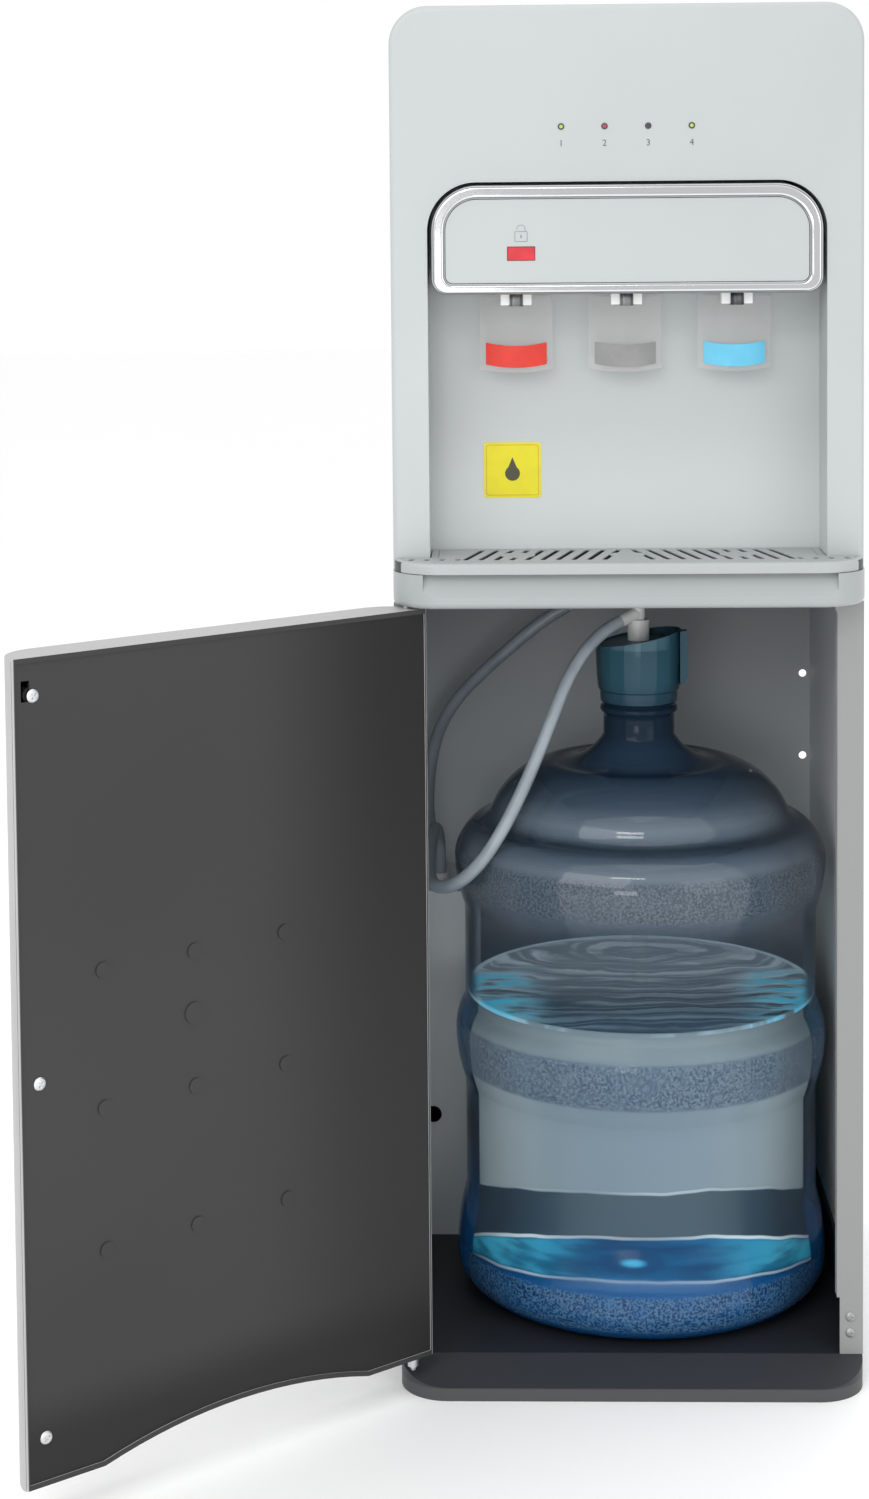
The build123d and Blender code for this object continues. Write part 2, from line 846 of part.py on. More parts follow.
def lip_edges(tray, z):
    """The edges of the lip that run round the front of the cabinet."""
    edges = front_edges(tray, z)
    return [edge for edge in edges if edge.center().Y < y_face - door_gap - 1]


def make_tray():
    tray = level(tray_outline(0), lip_bottom + 0.4, tray_top)
    tray = fillet(lip_edges(tray, tray_top), lip_edge)
    tray += level(basin_outline(0), well_floor + seat_gap, lip_bottom + 1)
    tray -= level(basin_outline(-basin_wall), well_floor + seat_gap + basin_wall, tray_top + 1)
    return tray - level(tray_outline(grille_rim - seat_gap), tray_top - grille_thickness, tray_top + 1)


def make_grille():
    outline = tray_outline(grille_rim)
    slots = Sketch()
    reach = basin_back - basin_front
    count = int(basin_wide_half / slot_pitch)
    middle = (basin_front + basin_back) / 2
    for step in range(-count, count + 1):
        if step == 0:
            continue
        side = math.copysign(1, step)
        x = step * slot_pitch
        lean = math.degrees(math.atan(slot_lean / reach))
        length = reach if abs(x) < basin_niche_half - slot_margin - slot_lean / 2 else basin_step - basin_front
        centre = middle if length == reach else (basin_front + basin_step) / 2
        turn = 90 - lean if side < 0 else 90 + lean
        slots += Pos(x, centre) * Rot(0, 0, turn) * SlotOverall(length - slot_margin, slot_width)
    for x in tap_places:
        slots -= Pos(x, middle) * Circle(pad_radius)
    return level(outline - slots, tray_top - grille_thickness, tray_top)


# ================================================================ pod and taps
def make_pod_housing():
    back = y_niche - 1
    pod = upright(arch(pod_half, pod_bottom, pod_top, pod_top_corner, pod_bottom_corner), y_face, back)
    inner = arch(
        pod_half - pod_wall,
        pod_bottom + pod_wall,
        pod_top - pod_wall,
        pod_top_corner - pod_wall,
        pod_bottom_corner - pod_wall,
    )
    pod -= upright(inner, y_face + pod_wall, back + 1)
    for x in tap_places:
        reach = max(nozzle_half, hub_half + ear_wall) + 1.5
        pod -= block(x - reach, x + reach, nozzle_front - 4, y_niche - 6, pod_bottom - 1, pod_bottom + 2 * pod_wall)
    return pod - button_bar(button_play, y_face - 1, y_face + 2 * pod_wall)


def button_bar(grow, y0, y1):
    dx = button_width / 2 + grow
    dz = button_height / 2 + grow
    return block(button_x - dx, button_x + dx, y0, y1, button_z - dz, button_z + dz)


def face_outline(grow):
    return arch(
        pod_half - bezel_side + grow,
        pod_bottom + bezel_foot - grow,
        pod_top - bezel_side + grow,
        pod_top_corner - bezel_side + grow,
        pod_bottom_corner - bezel_foot + 2 + grow,
    )


def make_bezel():
    outer = arch(pod_half, pod_bottom, pod_top, pod_top_corner, pod_bottom_corner)
    ring = upright(outer - face_outline(0), y_face - bezel_proud, y_face)
    front_edges = ring.faces().sort_by(Axis.Y)[0].edges()
    return fillet(front_edges, bezel_edge)


def make_face_plate():
    plate = upright(face_outline(-0.1), y_face - plate_proud, y_face)
    return plate - button_bar(button_play, y_face - bezel_proud, y_face + 1)


def make_lock_button():
    collar_y = y_face + pod_wall + seat_gap
    button = button_bar(0, y_face - plate_proud - button_proud, collar_y + button_collar)
    return button + button_bar(button_play + 1.2, collar_y, collar_y + button_collar)


def make_lock_spring():
    start = y_face + pod_wall + seat_gap + button_collar
    ends = (button_x, start, button_z), (button_x, valve_front, button_z)
    return rod(spring_radius, *ends) - rod(spring_bore, *ends)


def make_tap_body(x):
    """A valve body with its nozzle and the two ears that carry the lever's pin."""
    body = block(x - valve_half, x + valve_half, valve_front, y_niche, valve_bottom, valve_top)
    body += block(x - nozzle_half, x + nozzle_half, nozzle_front, nozzle_back, nozzle_bottom, valve_bottom + 4)
    body += post(spout_radius, x, nozzle_front + 1.5, nozzle_bottom - spout_drop, valve_bottom)
    for side in (-1, 1):
        inner = x + side * (hub_half + ear_play)
        ear = block(inner, inner + side * ear_wall, hinge_y - 4, hinge_y + 4, hinge_z - 4, valve_bottom)
        body += ear
    reach = hub_half + ear_play + ear_wall
    pin_ends = (x - reach, hinge_y, hinge_z), (x + reach, hinge_y, hinge_z)
    body -= rod(hinge_pin, *pin_ends)
    bore_y = hinge_y + plunger_reach
    body -= post(plunger_radius + plunger_play, x, bore_y, valve_bottom - 1, valve_top - 4)
    return group(body, rod(hinge_pin, *pin_ends))


def paddle_outline(x, half_width, radius, wall):
    """A strip in plan, bowed to the front."""
    centre_y = paddle_front + paddle_curve
    ring = Pos(x, centre_y) * (Circle(radius + wall) - Circle(radius))
    window = Pos(x, centre_y - radius) * Rectangle(2 * half_width, radius)
    return ring & window


def bowed_edge(x, half_width, z0, z1):
    """A block seen from the front with a straight top and a foot that dips in the middle."""
    foot = ThreePointArc((x - half_width, z0 + tab_dip), (x, z0), (x + half_width, z0 + tab_dip))
    top = Polyline((x + half_width, z0 + tab_dip), (x + half_width, z1), (x - half_width, z1), foot @ 0)
    return upright(make_face(foot + top), paddle_front - 2 * paddle_wall, hinge_y + paddle_curve)


def make_tap_lever(x):
    hub_ends = (x - hub_half, hinge_y, hinge_z), (x + hub_half, hinge_y, hinge_z)
    lever = rod(hub_radius, *hub_ends)
    paddle_z = (paddle_bottom, paddle_top)
    paddle = level(paddle_outline(x, paddle_half, paddle_curve - paddle_wall, paddle_wall), *paddle_z)
    lever += paddle & bowed_edge(x, paddle_half + 1, *paddle_z)
    neck_front = paddle_front + 0.2
    lever += block(x - neck_half, x + neck_half, neck_front, neck_front + paddle_wall, paddle_top - 6, hinge_z)
    lever += block(x - neck_half, x + neck_half, neck_front, hinge_y, hinge_z - 2, hinge_z + 1)
    lever += block(x - finger_half, x + finger_half, hinge_y, hinge_y + finger_reach, hinge_z - 1, hinge_z + 1.5)
    return lever - rod(hinge_pin + hinge_running, *hub_ends)


def make_tap_tab(x):
    outline = paddle_outline(x, tab_half, paddle_curve + tab_seat, tab_wall)
    tab = level(outline, tab_bottom, tab_bottom + tab_height) & bowed_edge(x, tab_half + 1, tab_bottom, tab_top)
    return tab - bowed_edge(x, tab_half + 1, tab_top - tab_dip, tab_top + tab_dip)


def make_tap_plunger(x):
    bottom = hinge_z + 1.5 + plunger_gap
    y = hinge_y + plunger_reach
    return post(plunger_radius, x, y, bottom, bottom + plunger_length)


# ================================================================ tanks, cooling and lines
def make_foam():
    right = foam_left + foam_width
    base = shelf_z + shelf_sheet
    foam = block(foam_left, right, foam_front, foam_front + foam_depth, base, base + foam_height)
    foam = fillet(foam.edges().filter_by(Axis.Z), 12)
    return foam - post(cold_radius + evaporator_wall, cold_x, cold_y, base + foam_floor, base + foam_height + 1)


def make_tank(x, y, radius, z0, tall):
    tank = post(radius, x, y, z0, z0 + tall)
    return tank - post(radius - tank_wall, x, y, z0 + tank_wall, z0 + tall - tank_wall)


def make_cold_tank():
    z0 = shelf_z + shelf_sheet + foam_floor
    return make_tank(cold_x, cold_y, cold_radius, z0, cold_height)


def make_hot_tank():
    z0 = shelf_z + shelf_sheet + jacket_wall
    z1 = z0 + hot_height
    heater = post(heater_radius, hot_x, hot_y, z1, z1 + heater_height)
    return make_tank(hot_x, hot_y, hot_radius, z0, hot_height) + heater


def make_jacket():
    z0 = shelf_z + shelf_sheet
    z1 = z0 + jacket_wall + hot_height
    jacket = post(hot_radius + jacket_wall, hot_x, hot_y, z0, z1)
    return jacket - post(hot_radius, hot_x, hot_y, z0 + jacket_wall, z1 + 1)


def make_compressor():
    z0 = bay_top + sheet + mount_height
    plate = block(
        compressor_x - foot_half_x,
        compressor_x + foot_half_x,
        compressor_y - foot_half_y,
        compressor_y + foot_half_y,
        z0,
        z0 + foot_plate,
    )
    shell = post(compressor_radius, compressor_x, compressor_y, z0 + foot_plate, compressor_top)
    shell = fillet(shell.edges().filter_by(GeomType.CIRCLE), compressor_edge)
    left = compressor_x - compressor_radius
    middle = (z0 + compressor_top) / 2
    low, high = middle - compressor_edge, middle + compressor_edge
    terminals = block(left - 8, left + 8, compressor_y - 20, compressor_y + 20, low, high)
    collar = post(compressor_radius * 0.6, compressor_x, compressor_y, z0, z0 + 2 * foot_plate)
    return plate + shell + terminals + collar


def make_compressor_mounts():
    z0 = bay_top + sheet
    places = [(sx * (foot_half_x - 10), sy * (foot_half_y - 10)) for sx in (-1, 1) for sy in (-1, 1)]
    feet = [post(mount_radius, compressor_x + dx, compressor_y + dy, z0, z0 + mount_height) for dx, dy in places]
    return group(*feet)


def make_cooling_circuit():
    base = shelf_z + shelf_sheet + foam_floor + evaporator_low
    wrap = post(cold_radius + evaporator_wall, cold_x, cold_y, base, base + evaporator_height)
    wrap -= post(cold_radius, cold_x, cold_y, base, base + evaporator_height)
    suction_y = compressor_y - suction_set
    suction = post(pipe_radius, compressor_x, suction_y, compressor_top, shelf_z + shelf_sheet)
    y0 = compressor_y + suction_set
    y1 = y_rear + condenser_gap - condenser_tube
    path = FilletPolyline(
        (compressor_x, y0, compressor_top),
        (compressor_x, y0, discharge_z),
        (compressor_x, y1, discharge_z),
        radius=discharge_z - compressor_top - 2,
    )
    discharge = sweep(Plane(origin=path @ 0, z_dir=path % 0) * Circle(pipe_radius), path=path)
    return group(wrap, suction, discharge)


def make_condenser():
    y = y_rear + condenser_gap
    points = []
    for run in range(condenser_runs):
        z = condenser_top - run * condenser_pitch
        side = 1 if run % 2 else -1
        points.append((side * condenser_half, y, z))
        points.append((-side * condenser_half, y, z))
    corners = 2 * condenser_runs - 2
    bend = condenser_pitch * 0.45
    path = FilletPolyline(*points, radius=[bend] * corners)
    tube = sweep(Plane(origin=points[0], z_dir=path % 0) * Circle(condenser_tube), path=path)
    wires = []
    low = condenser_top - (condenser_runs - 1) * condenser_pitch - wire_overrun
    for index in range(wire_count):
        x = (index - (wire_count - 1) / 2) * wire_pitch
        wires.append(post(wire_radius, x, y + condenser_tube + wire_radius, low, condenser_top + wire_overrun))
    return group(tube, *wires)


def make_water_lines():
    lines = []
    jacket = post(hot_radius + jacket_wall, hot_x, hot_y, shelf_z, shelf_z + foam_height)
    ends = (hot_y, foam_front, foam_front)
    for x, end in zip(tap_places, ends):
        lines.append(rod(line_radius, (x, y_niche, line_height), (x, end, line_height)) - jacket)
    feed_x, feed_y = ceiling_elbow
    path = FilletPolyline(
        (feed_x, feed_y, bay_top),
        (feed_x, feed_y, feed_turn_z),
        (feed_foam_x, feed_y, feed_turn_z),
        (feed_foam_x, foam_front + foam_depth, feed_turn_z),
        radius=feed_bend,
    )
    lines.append(sweep(Plane(origin=path @ 0, z_dir=path % 0) * Circle(line_radius), path=path))
    z = shelf_z + 3 * jacket_wall
    x0 = hot_x + hot_radius + jacket_wall
    lines.append(rod(line_radius, (x0 + seat_gap, hot_y, z), (foam_left, hot_y, z)))
    return group(*lines)


# ================================================================ rear fittings
def make_drain():
    path = FilletPolyline(
        (drain_x, y_rear, drain_z),
        (drain_x, drain_inner_y, drain_z),
        (drain_x, drain_inner_y, shelf_z + shelf_sheet),
        radius=drain_bend,
    )
    line = sweep(Plane(origin=path @ 0, z_dir=path % 0) * Circle(drain_radius), path=path)
    spigot = rod(spigot_radius, (drain_x, y_rear, drain_z), (drain_x, y_rear + spigot_length, drain_z))
    flange_plate = rod(1.6 * spigot_radius, (drain_x, y_rear, drain_z), (drain_x, y_rear + 2, drain_z))
    return line + spigot + flange_plate


def make_drain_cap():
    start = y_rear + 2 + seat_gap
    cap = rod(cap_radius, (drain_x, start, drain_z), (drain_x, start + cap_length, drain_z))
    bore_end = y_rear + spigot_length + seat_gap
    return cap - rod(spigot_radius + seat_gap, (drain_x, start - 1, drain_z), (drain_x, bore_end, drain_z))


def make_switch_plate():
    dx, dz = switch_plate_half
    y1 = y_rear + switch_plate_wall
    plate = block(switch_x - dx, switch_x + dx, y_rear, y1, switch_z - dz, switch_z + dz)
    plate = fillet(plate.edges().filter_by(Axis.Y), 3)
    for x in (-rocker_spread, rocker_spread):
        hole_x = rocker_half[0] + rocker_play
        hole_z = rocker_half[1] + rocker_play
        centre = switch_x + x
        plate -= block(centre - hole_x, centre + hole_x, y_rear - 1, y1 + 1, switch_z - hole_z, switch_z + hole_z)
        plate -= rocker_axle(centre, rocker_pin + pin_running, rocker_play + rocker_pin_reach + pin_running)
    gland = rod(gland_radius, (gland_x, y_rear, gland_z), (gland_x, y_rear + 3, gland_z))
    gland += rod(0.7 * gland_radius, (gland_x, y_rear, gland_z), (gland_x, y_rear + gland_length, gland_z))
    gland -= rod(gland_bore, (gland_x, y_rear - 1, gland_z), (gland_x, y_rear + gland_length + 1, gland_z))
    return group(plate, gland)


def rocker_axle(x, radius, reach):
    """The line of a rocker's two stub axles, running on past both sides of it."""
    y = y_rear + switch_plate_wall - 1
    end = rocker_half[0] + reach
    return rod(radius, (x - end, y, switch_z), (x + end, y, switch_z))


def make_rocker(x):
    """A rocker whose two faces slope, drawn with its upper end pressed in."""
    dx, dz = rocker_half
    y1 = y_rear + switch_plate_wall
    profile = [
        (y1 - 1, -dz + 1),
        (y1 + 1.8, -dz + 1),
        (y1 + 0.6, 0),
        (y1 + 1.8, dz - 1),
        (y1 - 1, dz - 1),
        (y1 - rocker_depth + 3, 2),
        (y1 - rocker_depth + 3, -2),
    ]
    lifted = [(y, z + switch_z) for y, z in profile]
    rocker = across(lifted, x - dx, x + dx) + rocker_axle(x, rocker_pin, rocker_play + rocker_pin_reach - 0.2)
    pivot = Axis((x, y1 - 1, switch_z), (1, 0, 0))
    return rocker.rotate(pivot, -rocker_tilt)


def make_panel_screws():
    screws = []
    for z in flange_screw_heights:
        x = flange_screw_x
        screw = rod(screw_shank, (x, y_face, z), (x, y_face + 2 * sheet, z))
        screws.append(screw + rod(screw_head, (x, y_face - screw_head_height, z), (x, y_face, z)))
    return group(*screws)


# ================================================================ bottle
def bottle_solid(inset):
    """The bottle's body as a solid of revolution, set in by a wall's thickness."""
    r = bottle_radius - inset
    waist = r - bottle_waist
    foot = bottle_floor + inset
    punt = foot + punt_rise
    neck = neck_radius - inset
    low = foot_round - inset
    corner = low * (1 - math.sqrt(0.5))
    ring = r - bulge_swell
    middle_low = (middle_bulge_foot + middle_bulge_peak) / 2
    middle_high = (middle_bulge_peak + middle_bulge_top) / 2
    high_low = (high_bulge_foot + high_bulge_peak) / 2
    high_high = (high_bulge_peak + high_bulge_top) / 2
    shoulder = (r - high_bulge_top_in, high_bulge_top - inset)
    notch = (r - notch_top_in, notch_top - inset)
    dome = (r - dome_top_in, dome_top - inset)
    outline = (
        Line((0, punt), (r - punt_in, punt))
        + Line((r - punt_in, punt), (r - foot_in, foot))
        + Line((r - foot_in, foot), (r - low, foot))
        + ThreePointArc((r - low, foot), (r - corner, foot + corner), (r, foot + low))
        + ThreePointArc((r, foot + low), (r - low_bulge_mid_in, low_bulge_mid), (waist, low_bulge_top))
        + Line((waist, low_bulge_top), (waist, middle_bulge_foot))
        + ThreePointArc((waist, middle_bulge_foot), (ring, middle_low), (r, middle_bulge_peak))
        + ThreePointArc((r, middle_bulge_peak), (ring, middle_high), (waist, middle_bulge_top))
        + Line((waist, middle_bulge_top), (waist, high_bulge_foot))
        + ThreePointArc((waist, high_bulge_foot), (ring, high_low), (r, high_bulge_peak))
        + ThreePointArc((r, high_bulge_peak), (r - 2.2 * bulge_swell, high_high), shoulder)
        + ThreePointArc(shoulder, (r - notch_middle_in, notch_middle - inset), notch)
        + ThreePointArc(notch, (r - dome_middle_in, dome_middle - inset), dome)
        + ThreePointArc(dome, (neck + neck_flare_out, neck_flare - inset), (neck, neck_foot))
        + Line((neck, neck_foot), (neck, neck_top))
        + Line((neck, neck_top), (0, neck_top))
        + Line((0, neck_top), (0, punt))
    )
    face = Plane.XZ * make_face(outline)
    return Pos(bottle_x, bottle_y, 0) * revolve(face, Axis.Z)


def make_bottle():
    mouth = post(neck_radius - bottle_wall, bottle_x, bottle_y, neck_top - 5, neck_top + 1)
    return bottle_solid(0) - bottle_solid(bottle_wall) - mouth


def make_water():
    water = bottle_solid(bottle_wall + water_gap)
    water &= block(-half, half, y_front, y_rear, 0, water_level)
    return water - probe_stick(water_gap)


def probe_stick(grow):
    stick = post(probe_radius + grow, bottle_x, bottle_y, probe_bottom - grow, cap_floor)
    return stick + post(
        strainer_radius + grow, bottle_x, bottle_y, probe_bottom - grow, probe_bottom + strainer_height + grow
    )


def make_cap():
    outer = Polyline(
        (0, cap_foot),
        (cap_foot_radius, cap_foot),
        (cap_foot_radius + 0.4, cap_foot + 10),
        (cap_rim_radius, cap_foot + 36),
        (cap_rim_radius, cap_rim + 2 * cap_rim_rise),
        (0, cap_rim + 2 * cap_rim_rise),
        close=True,
    )
    cap = Pos(bottle_x, bottle_y, 0) * revolve(Plane.XZ * make_face(outer), Axis.Z)
    cap -= post(neck_radius + cap_play, bottle_x, bottle_y, cap_foot - 1, neck_top + cap_play)
    cap -= post(cap_rim_radius - cap_skin, bottle_x, bottle_y, cap_floor + cap_skin, cap_rim + 3 * cap_rim_rise)
    cap -= post(probe_radius + cap_play, bottle_x, bottle_y, cap_foot, cap_rim)
    reach = 2 * cap_rim_radius
    cut = Polyline(
        (bottle_x - reach, cap_rim - 2 * cap_rim_rise),
        (bottle_x, cap_rim),
        (bottle_x + reach, cap_rim + 2 * cap_rim_rise),
        (bottle_x + reach, cap_rim + 4 * cap_rim_rise),
        (bottle_x - reach, cap_rim + 4 * cap_rim_rise),
        close=True,
    )
    tab_x = bottle_x + cap_rim_radius
    tab = block(tab_x - cap_skin, tab_x + cap_tab_reach, *cap_tab_sides, cap_tab_bottom, cap_rim + cap_rim_rise)
    return cap + tab - upright(make_face(cut), y_front, y_rear)


def make_probe():
    probe = probe_stick(0)
    head_bottom = cap_floor + cap_skin + cap_play
    probe += post(probe_radius, bottle_x, bottle_y, cap_floor - 1, head_bottom + 1)
    probe += post(probe_head_radius, bottle_x, bottle_y, head_bottom, probe_head_top)
    probe += post(probe_stem_radius, bottle_x, bottle_y, probe_head_top - 1, probe_stem_top)
    head = (bottle_x, bottle_y, elbow_z)
    return probe + rod(elbow_radius, head, aim_point(head, elbow_aim, elbow_length))


# ================================================================ places that several pieces share
y_apron_back = y_niche + niche_wall + 1.5
cold_x = foam_left + foam_width / 2
cold_y = foam_front + foam_depth / 2
compressor_top = bay_top + sheet + mount_height + foot_plate + compressor_height
discharge_z = condenser_top - 5 * condenser_pitch

parts = {
    "base_plinth": make_base(),
    "side_panel_right": make_side_panel(),
    "side_panel_left": mirror(make_side_panel(), about=Plane.YZ),
    "bay_side_liners": make_bay_liners(),
    "rear_panel": make_rear_panel(),
    "bay_ceiling": make_ceiling(),
    "tank_shelf": make_tank_shelf(),
    "service_box": make_service_box(),
    "water_pump": make_pump(),
    "hose_fittings": make_fittings(),
    "hose_probe": hose(probe_hose_points(), hose_radius),
    "hose_riser": hose(riser_hose_points(), hose_radius),
    "door_skin": make_door_skin(),
    "door_liner": make_door_liner(),
    "door_screws": make_door_screws(),
    "hinge_pins": make_hinge_pins(),
    "front_fascia": make_fascia(),
    "niche_liner": make_niche(),
    "top_cover": make_top_cover(),
    "indicator_lenses": make_lenses(),
    "indicator_board": make_board(),
    "apron": make_apron(),
    "drip_tray": make_tray(),
    "drip_grille": make_grille(),
    "pod_housing": make_pod_housing(),
    "chrome_bezel": make_bezel(),
    "pod_face_plate": make_face_plate(),
    "lock_button": make_lock_button(),
    "lock_spring": make_lock_spring(),
    "tank_foam": make_foam(),
    "cold_tank": make_cold_tank(),
    "hot_tank": make_hot_tank(),
    "hot_jacket": make_jacket(),
    "compressor": make_compressor(),
    "compressor_mounts": make_compressor_mounts(),
    "cooling_circuit": make_cooling_circuit(),
    "condenser": make_condenser(),
    "water_lines": make_water_lines(),
    "drain_spigot": make_drain(),
    "drain_cap": make_drain_cap(),
    "switch_plate": make_switch_plate(),
    "rocker_hot": make_rocker(switch_x - rocker_spread),
    "rocker_cold": make_rocker(switch_x + rocker_spread),
    "panel_screws": make_panel_screws(),
    "bottle": make_bottle(),
    "water": make_water(),
    "bottle_cap": make_cap(),
    "probe": make_probe(),
}
for name, x in zip(tap_names, tap_places):
    parts["tap_body_" + name] = make_tap_body(x)
    parts["tap_lever_" + name] = make_tap_lever(x)
    parts["tap_tab_" + name] = make_tap_tab(x)
    parts["tap_plunger_" + name] = make_tap_plunger(x)

os.makedirs("parts", exist_ok=True)
for name, piece in parts.items():
    export_step(piece, f"parts/{name}.step")
print(len(parts), "pieces written")
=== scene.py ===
import math

import bmesh
import bpy
from mathutils import Matrix, Vector


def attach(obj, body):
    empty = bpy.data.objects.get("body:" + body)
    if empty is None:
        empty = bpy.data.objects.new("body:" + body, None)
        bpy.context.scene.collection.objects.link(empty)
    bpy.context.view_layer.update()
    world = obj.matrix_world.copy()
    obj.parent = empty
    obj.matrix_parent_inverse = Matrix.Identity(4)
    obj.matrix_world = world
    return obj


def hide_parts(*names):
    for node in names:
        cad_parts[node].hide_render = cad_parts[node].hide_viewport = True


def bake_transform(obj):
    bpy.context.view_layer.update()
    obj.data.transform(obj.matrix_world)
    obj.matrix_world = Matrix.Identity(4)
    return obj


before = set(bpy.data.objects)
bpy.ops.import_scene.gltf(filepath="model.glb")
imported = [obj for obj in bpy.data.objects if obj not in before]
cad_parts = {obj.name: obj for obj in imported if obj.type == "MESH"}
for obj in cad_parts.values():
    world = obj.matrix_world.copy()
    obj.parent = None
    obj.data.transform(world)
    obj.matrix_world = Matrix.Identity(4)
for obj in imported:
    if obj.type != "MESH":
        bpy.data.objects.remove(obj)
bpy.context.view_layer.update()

# The dressed water cooler: camera, hoses, bottle, printed details, screws, finishes and studio.
# Everything is in metres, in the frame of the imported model: X right, Y back, Z up.

MM = 0.001

# ---- sizes shared with the cabinet
BOTTLE_AXIS = (13.5, 2.0)
BOTTLE_FOOT = 20.3
BOTTLE_RADIUS = 136.0
BOTTLE_WALL = 1.5
NECK_RADIUS = 26.0
NECK_TOP = 486.0
WATER_LEVEL = 241.0
CAP_FOOT = 452.0
CAP_FLOOR = 495.0
LAMP_PLACES = (-44.0, -14.7, 14.7, 44.0)
FASCIA_FACE = -137.0
PLATE_FACE = -139.2
NICHE_BACK = -90.0
TAP_PLACES = (-75.0, 0.0, 75.0)
PIN = (-151.0, -151.5)
OPEN_DEGREES = 140.3
HEM_FACE = -138.5


# ==== node writing
class Value:
    """One output in a material's tree; arithmetic on it adds Math nodes."""

    def __init__(self, tree, socket):
        self.tree = tree
        self.socket = socket

    def maths(self, operation, *values):
        node = self.tree.nodes.new("ShaderNodeMath")
        node.operation = operation
        for place, value in zip(node.inputs, values):
            if isinstance(value, Value):
                self.tree.links.new(value.socket, place)
            else:
                place.default_value = value
        return Value(self.tree, node.outputs[0])

    def __add__(self, other):
        return self.maths("ADD", self, other)

    __radd__ = __add__

    def __sub__(self, other):
        return self.maths("SUBTRACT", self, other)

    def __rsub__(self, other):
        return self.maths("SUBTRACT", other, self)

    def __mul__(self, other):
        return self.maths("MULTIPLY", self, other)

    __rmul__ = __mul__

    def __truediv__(self, other):
        return self.maths("DIVIDE", self, other)

    def size(self):
        """The value without its sign."""
        return self.maths("ABSOLUTE", self)

    def wave(self):
        return self.maths("SINE", self)

    def root(self):
        return self.maths("SQRT", self)

    def over(self, low, high):
        """0 below low and 1 above high, smooth between them."""
        node = self.tree.nodes.new("ShaderNodeMapRange")
        node.interpolation_type = "SMOOTHSTEP"
        self.tree.links.new(self.socket, node.inputs["Value"])
        node.inputs["From Min"].default_value = low
        node.inputs["From Max"].default_value = high
        return Value(self.tree, node.outputs["Result"])

    def band(self, low, high, soft):
        """1 between low and high, fading to 0 over soft at each end."""
        return self.over(low - soft, low) * (1.0 - self.over(high, high + soft))


